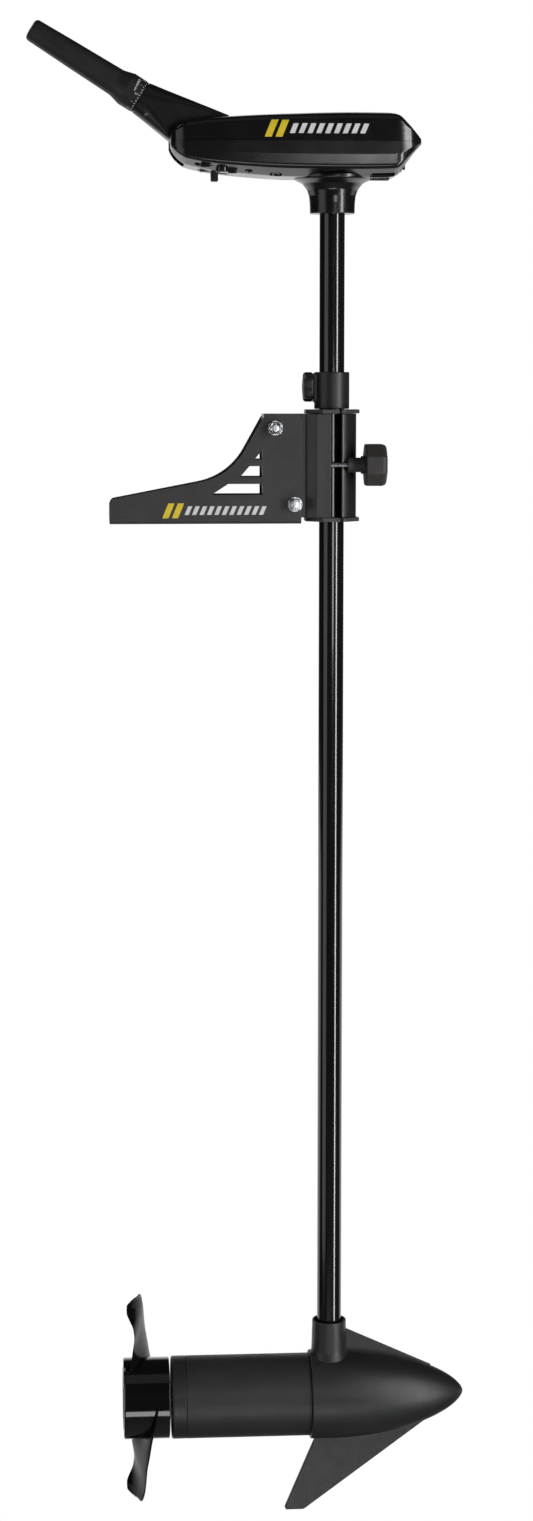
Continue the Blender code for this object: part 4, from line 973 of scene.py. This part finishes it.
def nosecone():
    low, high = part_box("nosecone")
    radius, straight = 0.0463, 0.0209
    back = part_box("motor_tube")[1].x + GAP
    length = high.x - back
    at = (back, 0, MOTOR_Z)
    taper = length - straight
    profile = [(0, 0), (radius, 0, 0.0016), (radius, straight * 0.5)]
    profile += [(radius * (1 - sin(a) ** 2) ** 0.62, straight + taper * sin(a))
                for a in (radians(90 * i / 40) for i in range(40))]
    nose = turned("nose_casting", profile + [(0, length)], at, "X")
    collar_top = -0.8393
    skeg = rounded([
        (SHAFT_X - 0.013, -0.945), (SHAFT_X - 0.0135, -0.966, 0.006), (SHAFT_X - 0.0468, -1.045, 0.0016),
        (SHAFT_X - 0.0457, low.z, 0.0014), (SHAFT_X - 0.0266, low.z, 0.006), (SHAFT_X + 0.108, -0.948),
        (SHAFT_X + 0.09, -0.935)], 5)
    gusset = [(SHAFT_X + 0.012, -0.85), (SHAFT_X + 0.0182, -0.8503), (SHAFT_X + 0.108, -0.8917),
              (SHAFT_X + 0.108, -0.905), (SHAFT_X + 0.012, -0.895)]
    join(nose,
         turned("nose_collar", [(0, -0.895), (0.0225, -0.895), (0.0215, -0.879, 0.003),
                                (0.0186, -0.872, 0.012), (0.0177, collar_top, 0.0007), (0, collar_top)],
                (SHAFT_X, 0, 0)),
         extruded("nose_skeg", skeg, -0.0028, 0.0028, "Y", edge=0.001),
         extruded("nose_gusset", gusset, -0.0024, 0.0024, "Y", edge=0.0009))
    cut(nose,
        bore("chamber", 0.033, -0.01, 0.056, at, "X", MEDIUM),
        bore("bearing_seat", 0.0085, 0.04, 0.064, at, "X"),
        turned("collar_way", [(0, -0.8783), (0.013, -0.8783), (0.013, collar_top - 0.005),
                              (0.0164, collar_top + 0.0002), (0.0164, -0.8), (0, -0.8)], (SHAFT_X, 0, 0)),
        bore("lead_way", 0.0085, MOTOR_Z, -0.8, (SHAFT_X, 0, 0)),
        *[bore("bolt_way", 0.0024, -0.01, 0.019, (back, side * BOLT_Y, MOTOR_Z), "X") for side in (-1, 1)])
    show(nose, "shaft", "cast_alloy", "nosecone")


def motor():
    low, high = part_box("motor_tube")
    radius = high.z - MOTOR_Z
    at = (0, 0, MOTOR_Z)
    tube = ring("motor_skin", radius - 0.003, radius, low.x, high.x, at, "X", near=0.0005)
    show(tube, "shaft", "tube_steel", "motor_tube")

    low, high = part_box("end_cap")
    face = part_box("motor_tube")[0].x - GAP
    inner = radius - 0.0033
    cap = turned("cap_casting", [
        (0.012, low.x), (radius, low.x, 0.0022), (radius, face, 0.0005), (inner, face), (inner, high.x),
        (0.012, high.x)], at, "X")
    way = [(0, -0.01), (0.0041, -0.01), (0.0041, 0.0042), (0.0025, 0.0042), (0.0025, 0.03), (0, 0.03)]
    cut(cap, *[turned("cap_way", way, (low.x, side * BOLT_Y, MOTOR_Z), "X", COARSE) for side in (-1, 1)])
    show(cap, "shaft", "cast_alloy", "end_cap")


BLADE = (
    # radius, angles of the trailing and the leading edge in degrees, and how far forward each edge is
    (0.0385, -34, 106, -0.0180, 0.0118),
    (0.0430, -32, 98, -0.0176, 0.0115),
    (0.0460, -31, 84, -0.0174, 0.0095),
    (0.0500, -30, 68, -0.0170, 0.0070),
    (0.0560, -27, 54, -0.0158, 0.0045),
    (0.0660, -22, 40, -0.0140, 0.0020),
    (0.0760, -19, 31, -0.0125, -0.0003),
    (0.0870, -17, 24, -0.0137, -0.0013),
    (0.0970, -14.5, 17.5, -0.0182, -0.0023),
    (0.1025, -12, 13, -0.0205, -0.0033),
    (0.1070, -9, 8.5, -0.0203, -0.0042),
    (0.1100, -6.5, 5.5, -0.0165, -0.0050),
    (0.1116, -4, 3, -0.0125, -0.0068),
)


def blade(name, place):
    """One blade that stands along +Z about an axis along X, as a thin skin over its edges."""
    rows = smooth_stations(BLADE, 3)
    first, last = rows[0][0], rows[-1][0]
    across, root_thick = 22, 0.0052
    bm = bmesh.new()
    skins = []
    for radius, trail, lead, trail_x, lead_x in rows:
        t = (radius - first) / (last - first)
        thick, curve = root_thick * (1 - 0.62 * t), min(1, 0.6 + 0.85 * t)
        pair = []
        for side in (1, -1):
            points = []
            for k in range(across + 1):
                s = (1 - cos(pi * k / across)) / 2
                a = radians(trail + (lead - trail) * s)
                flare = max(0, t - 0.45) * 0.012 * (s * (1 - s))
                x = trail_x + (lead_x - trail_x) * s**curve + flare
                x += side * thick * (s * (1 - s)) ** 0.5 * (0.65 + 0.5 * s)
                points.append(bm.verts.new(place @ Vector((x, radius * sin(a), radius * cos(a)))))
            pair.append(points)
        skins.append(pair)
    for low, high in zip(skins, skins[1:]):
        for side in (0, 1):
            for k in range(across):
                bm.faces.new((low[side][k], low[side][k + 1], high[side][k + 1], high[side][k]))
    for pair in (skins[0], skins[-1]):
        for k in range(across):
            bm.faces.new(list(dict.fromkeys((pair[0][k], pair[0][k + 1], pair[1][k + 1], pair[1][k]))))
    return mesh_object(name, bm)


def propeller():
    radius = 0.0423
    hub_front, hub_back = -0.0404, -0.0887
    at = (0, 0, MOTOR_Z)
    bore_r, web = 0.0053, -0.056
    piece = turned("propeller_hub", [
        (bore_r, web), (0.016, web), (0.018, hub_front - 0.008), (0.0375, hub_front - 0.008),
        (0.0375, hub_front), (radius, hub_front, 0.0008), (radius, hub_back, 0.0022), (0.034, hub_back, 0.0008),
        (0.0335, hub_back + 0.008), (0.016, hub_back + 0.011), (0.015, hub_back + 0.02),
        (bore_r, hub_back + 0.02)], at, "X")
    middle = (hub_front + hub_back) / 2
    for turn in (0, pi):
        place = Matrix.Translation((middle, 0, MOTOR_Z)) @ Matrix.Rotation(turn, 4, "X")
        show(blade("blade", place), "armature", "propeller_plastic", "propeller", finish="blade_plastic",
             sharp=40)
    cut(piece, block("pin_way", (-0.0545, -0.0125, MOTOR_Z - 0.0024), (-0.04, 0.0125, MOTOR_Z + 0.0024)))
    show(piece, "armature", "propeller_plastic", "propeller", sharp=40)


# Studio

def studio():
    """A pale floor that is white to the camera and glows at the back, lamps, and a white backdrop."""
    floor_half, floor_drop = 12.0, 1.4
    bm = bmesh.new()
    bmesh.ops.create_grid(bm, x_segments=1, y_segments=1, size=floor_half)
    floor = mesh_object("floor", bm)
    floor.location = (0, 0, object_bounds()[0].z - floor_drop)
    material = bpy.data.materials.new("floor_paper")
    material.use_nodes = True
    tree, link = material.node_tree, material.node_tree.links.new
    shader = tree.nodes["Principled BSDF"]
    for name, value in (("Base Color", (0.22, 0.22, 0.22, 1)), ("Roughness", 0.9), ("Emission Color", WHITE)):
        shader.inputs[name].default_value = value
    place, parts = added(tree, "TexCoord"), added(tree, "SeparateXYZ")
    glow = added(tree, "MapRange", From_Min=1.0, From_Max=2.6)
    white, path, mix = (added(tree, kind) for kind in ("Emission", "LightPath", "MixShader"))
    link(place.outputs["Object"], parts.inputs["Vector"])
    link(parts.outputs["Y"], glow.inputs["Value"])
    link(glow.outputs["Result"], shader.inputs["Emission Strength"])
    link(path.outputs["Is Camera Ray"], mix.inputs["Fac"])
    link(shader.outputs["BSDF"], mix.inputs[1])
    link(white.outputs["Emission"], mix.inputs[2])
    link(mix.outputs["Shader"], tree.nodes["Material Output"].inputs["Surface"])
    floor.data.materials.append(material)
    floor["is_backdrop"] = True

    middle = Vector((SHAFT_X - 0.1, 0, -0.3))
    for name, *row in (
        # degrees round the object from the front, height, distance, width, height of the light, watts
        ("strip_right", 47, 0.1, 2.2, 0.34, 3.2, 48),
        ("box_left", -58, 0.2, 2.4, 1.6, 3.0, 14),
        ("box_above", 10, 2.6, 0.9, 2.4, 1.6, 2),
        ("card_low", 0, -1.4, 1.6, 1.2, 0.45, 7),
        ("card_right", 13.8, 0.2, 2.4, 0.52, 0.5, 5),
        ("spot_left", -130, 1.9, 1.6, 0.6, 0.6, 8),
    ):
        bearing, height, away, width, tall, power = row
        a = radians(bearing)
        at = middle + Vector((sin(a) * away, -cos(a) * away, height))
        light = bpy.data.lights.new(name, "AREA")
        light.shape = "RECTANGLE"
        light.size, light.size_y, light.energy = width, tall, power
        lamp = bpy.data.objects.new(name, light)
        lamp.location = at
        lamp.rotation_mode = "QUATERNION"
        lamp.rotation_quaternion = (middle - at).to_track_quat("-Z", "Y")
        lamp.visible_camera = False
        bpy.context.scene.collection.objects.link(lamp)

    world = bpy.data.worlds.new("studio")
    bpy.context.scene.world = world
    world.use_nodes = True
    tree, link = world.node_tree, world.node_tree.links.new
    tree.nodes.clear()
    place, parts, path = (added(tree, kind) for kind in ("TexCoord", "SeparateXYZ", "LightPath"))
    depth = added(tree, "MapRange", From_Min=0.88, From_Max=0.99, To_Min=0.02, To_Max=1.0)
    strength = added(tree, "Math", "MAXIMUM")
    backdrop, output = added(tree, "Background", Color=WHITE), added(tree, "OutputWorld")
    link(place.outputs["Generated"], parts.inputs["Vector"])
    link(parts.outputs["Y"], depth.inputs["Value"])
    link(depth.outputs["Result"], strength.inputs[0])
    link(path.outputs["Is Camera Ray"], strength.inputs[1])
    link(strength.outputs["Value"], backdrop.inputs["Strength"])
    link(backdrop.outputs["Background"], output.inputs["Surface"])


def camera():
    yaw, pitch, away, aside, height = radians(4.0), radians(7.5), 2.911, 0.066, 0.1389
    forward, right = Vector((sin(yaw), cos(yaw), 0)), Vector((cos(yaw), -sin(yaw), 0))
    eye = bpy.data.cameras.new("camera")
    eye.sensor_width, eye.lens = 36.0, 67.5
    thing = bpy.data.objects.new("camera", eye)
    thing.location = Vector((SHAFT_X, 0, height)) - forward * away - right * aside
    thing.rotation_euler = (pi / 2 - pitch, 0, -yaw)
    bpy.context.scene.collection.objects.link(thing)
    bpy.context.scene.camera = thing


def carried_over():
    """Every CAD node takes the finish of its slot."""
    slots = {part["node"]: part["material_slot"] for part in frame["record"]["subparts"]}
    for name, node in frame["nodes"].items():
        node.data.materials.clear()
        node.data.materials.append(FINISHES[slots[name]])


carried_over()
bracket()
fastener("pivot", "bracket")
fastener("stop", "bracket")
clamp()
tension_knob()
depth_collar()
shaft()
head()
arm()
grip()
nosecone()
motor()
propeller()
studio()
camera()
bpy.context.scene.view_settings.view_transform = "Standard"
bpy.context.view_layer.update()
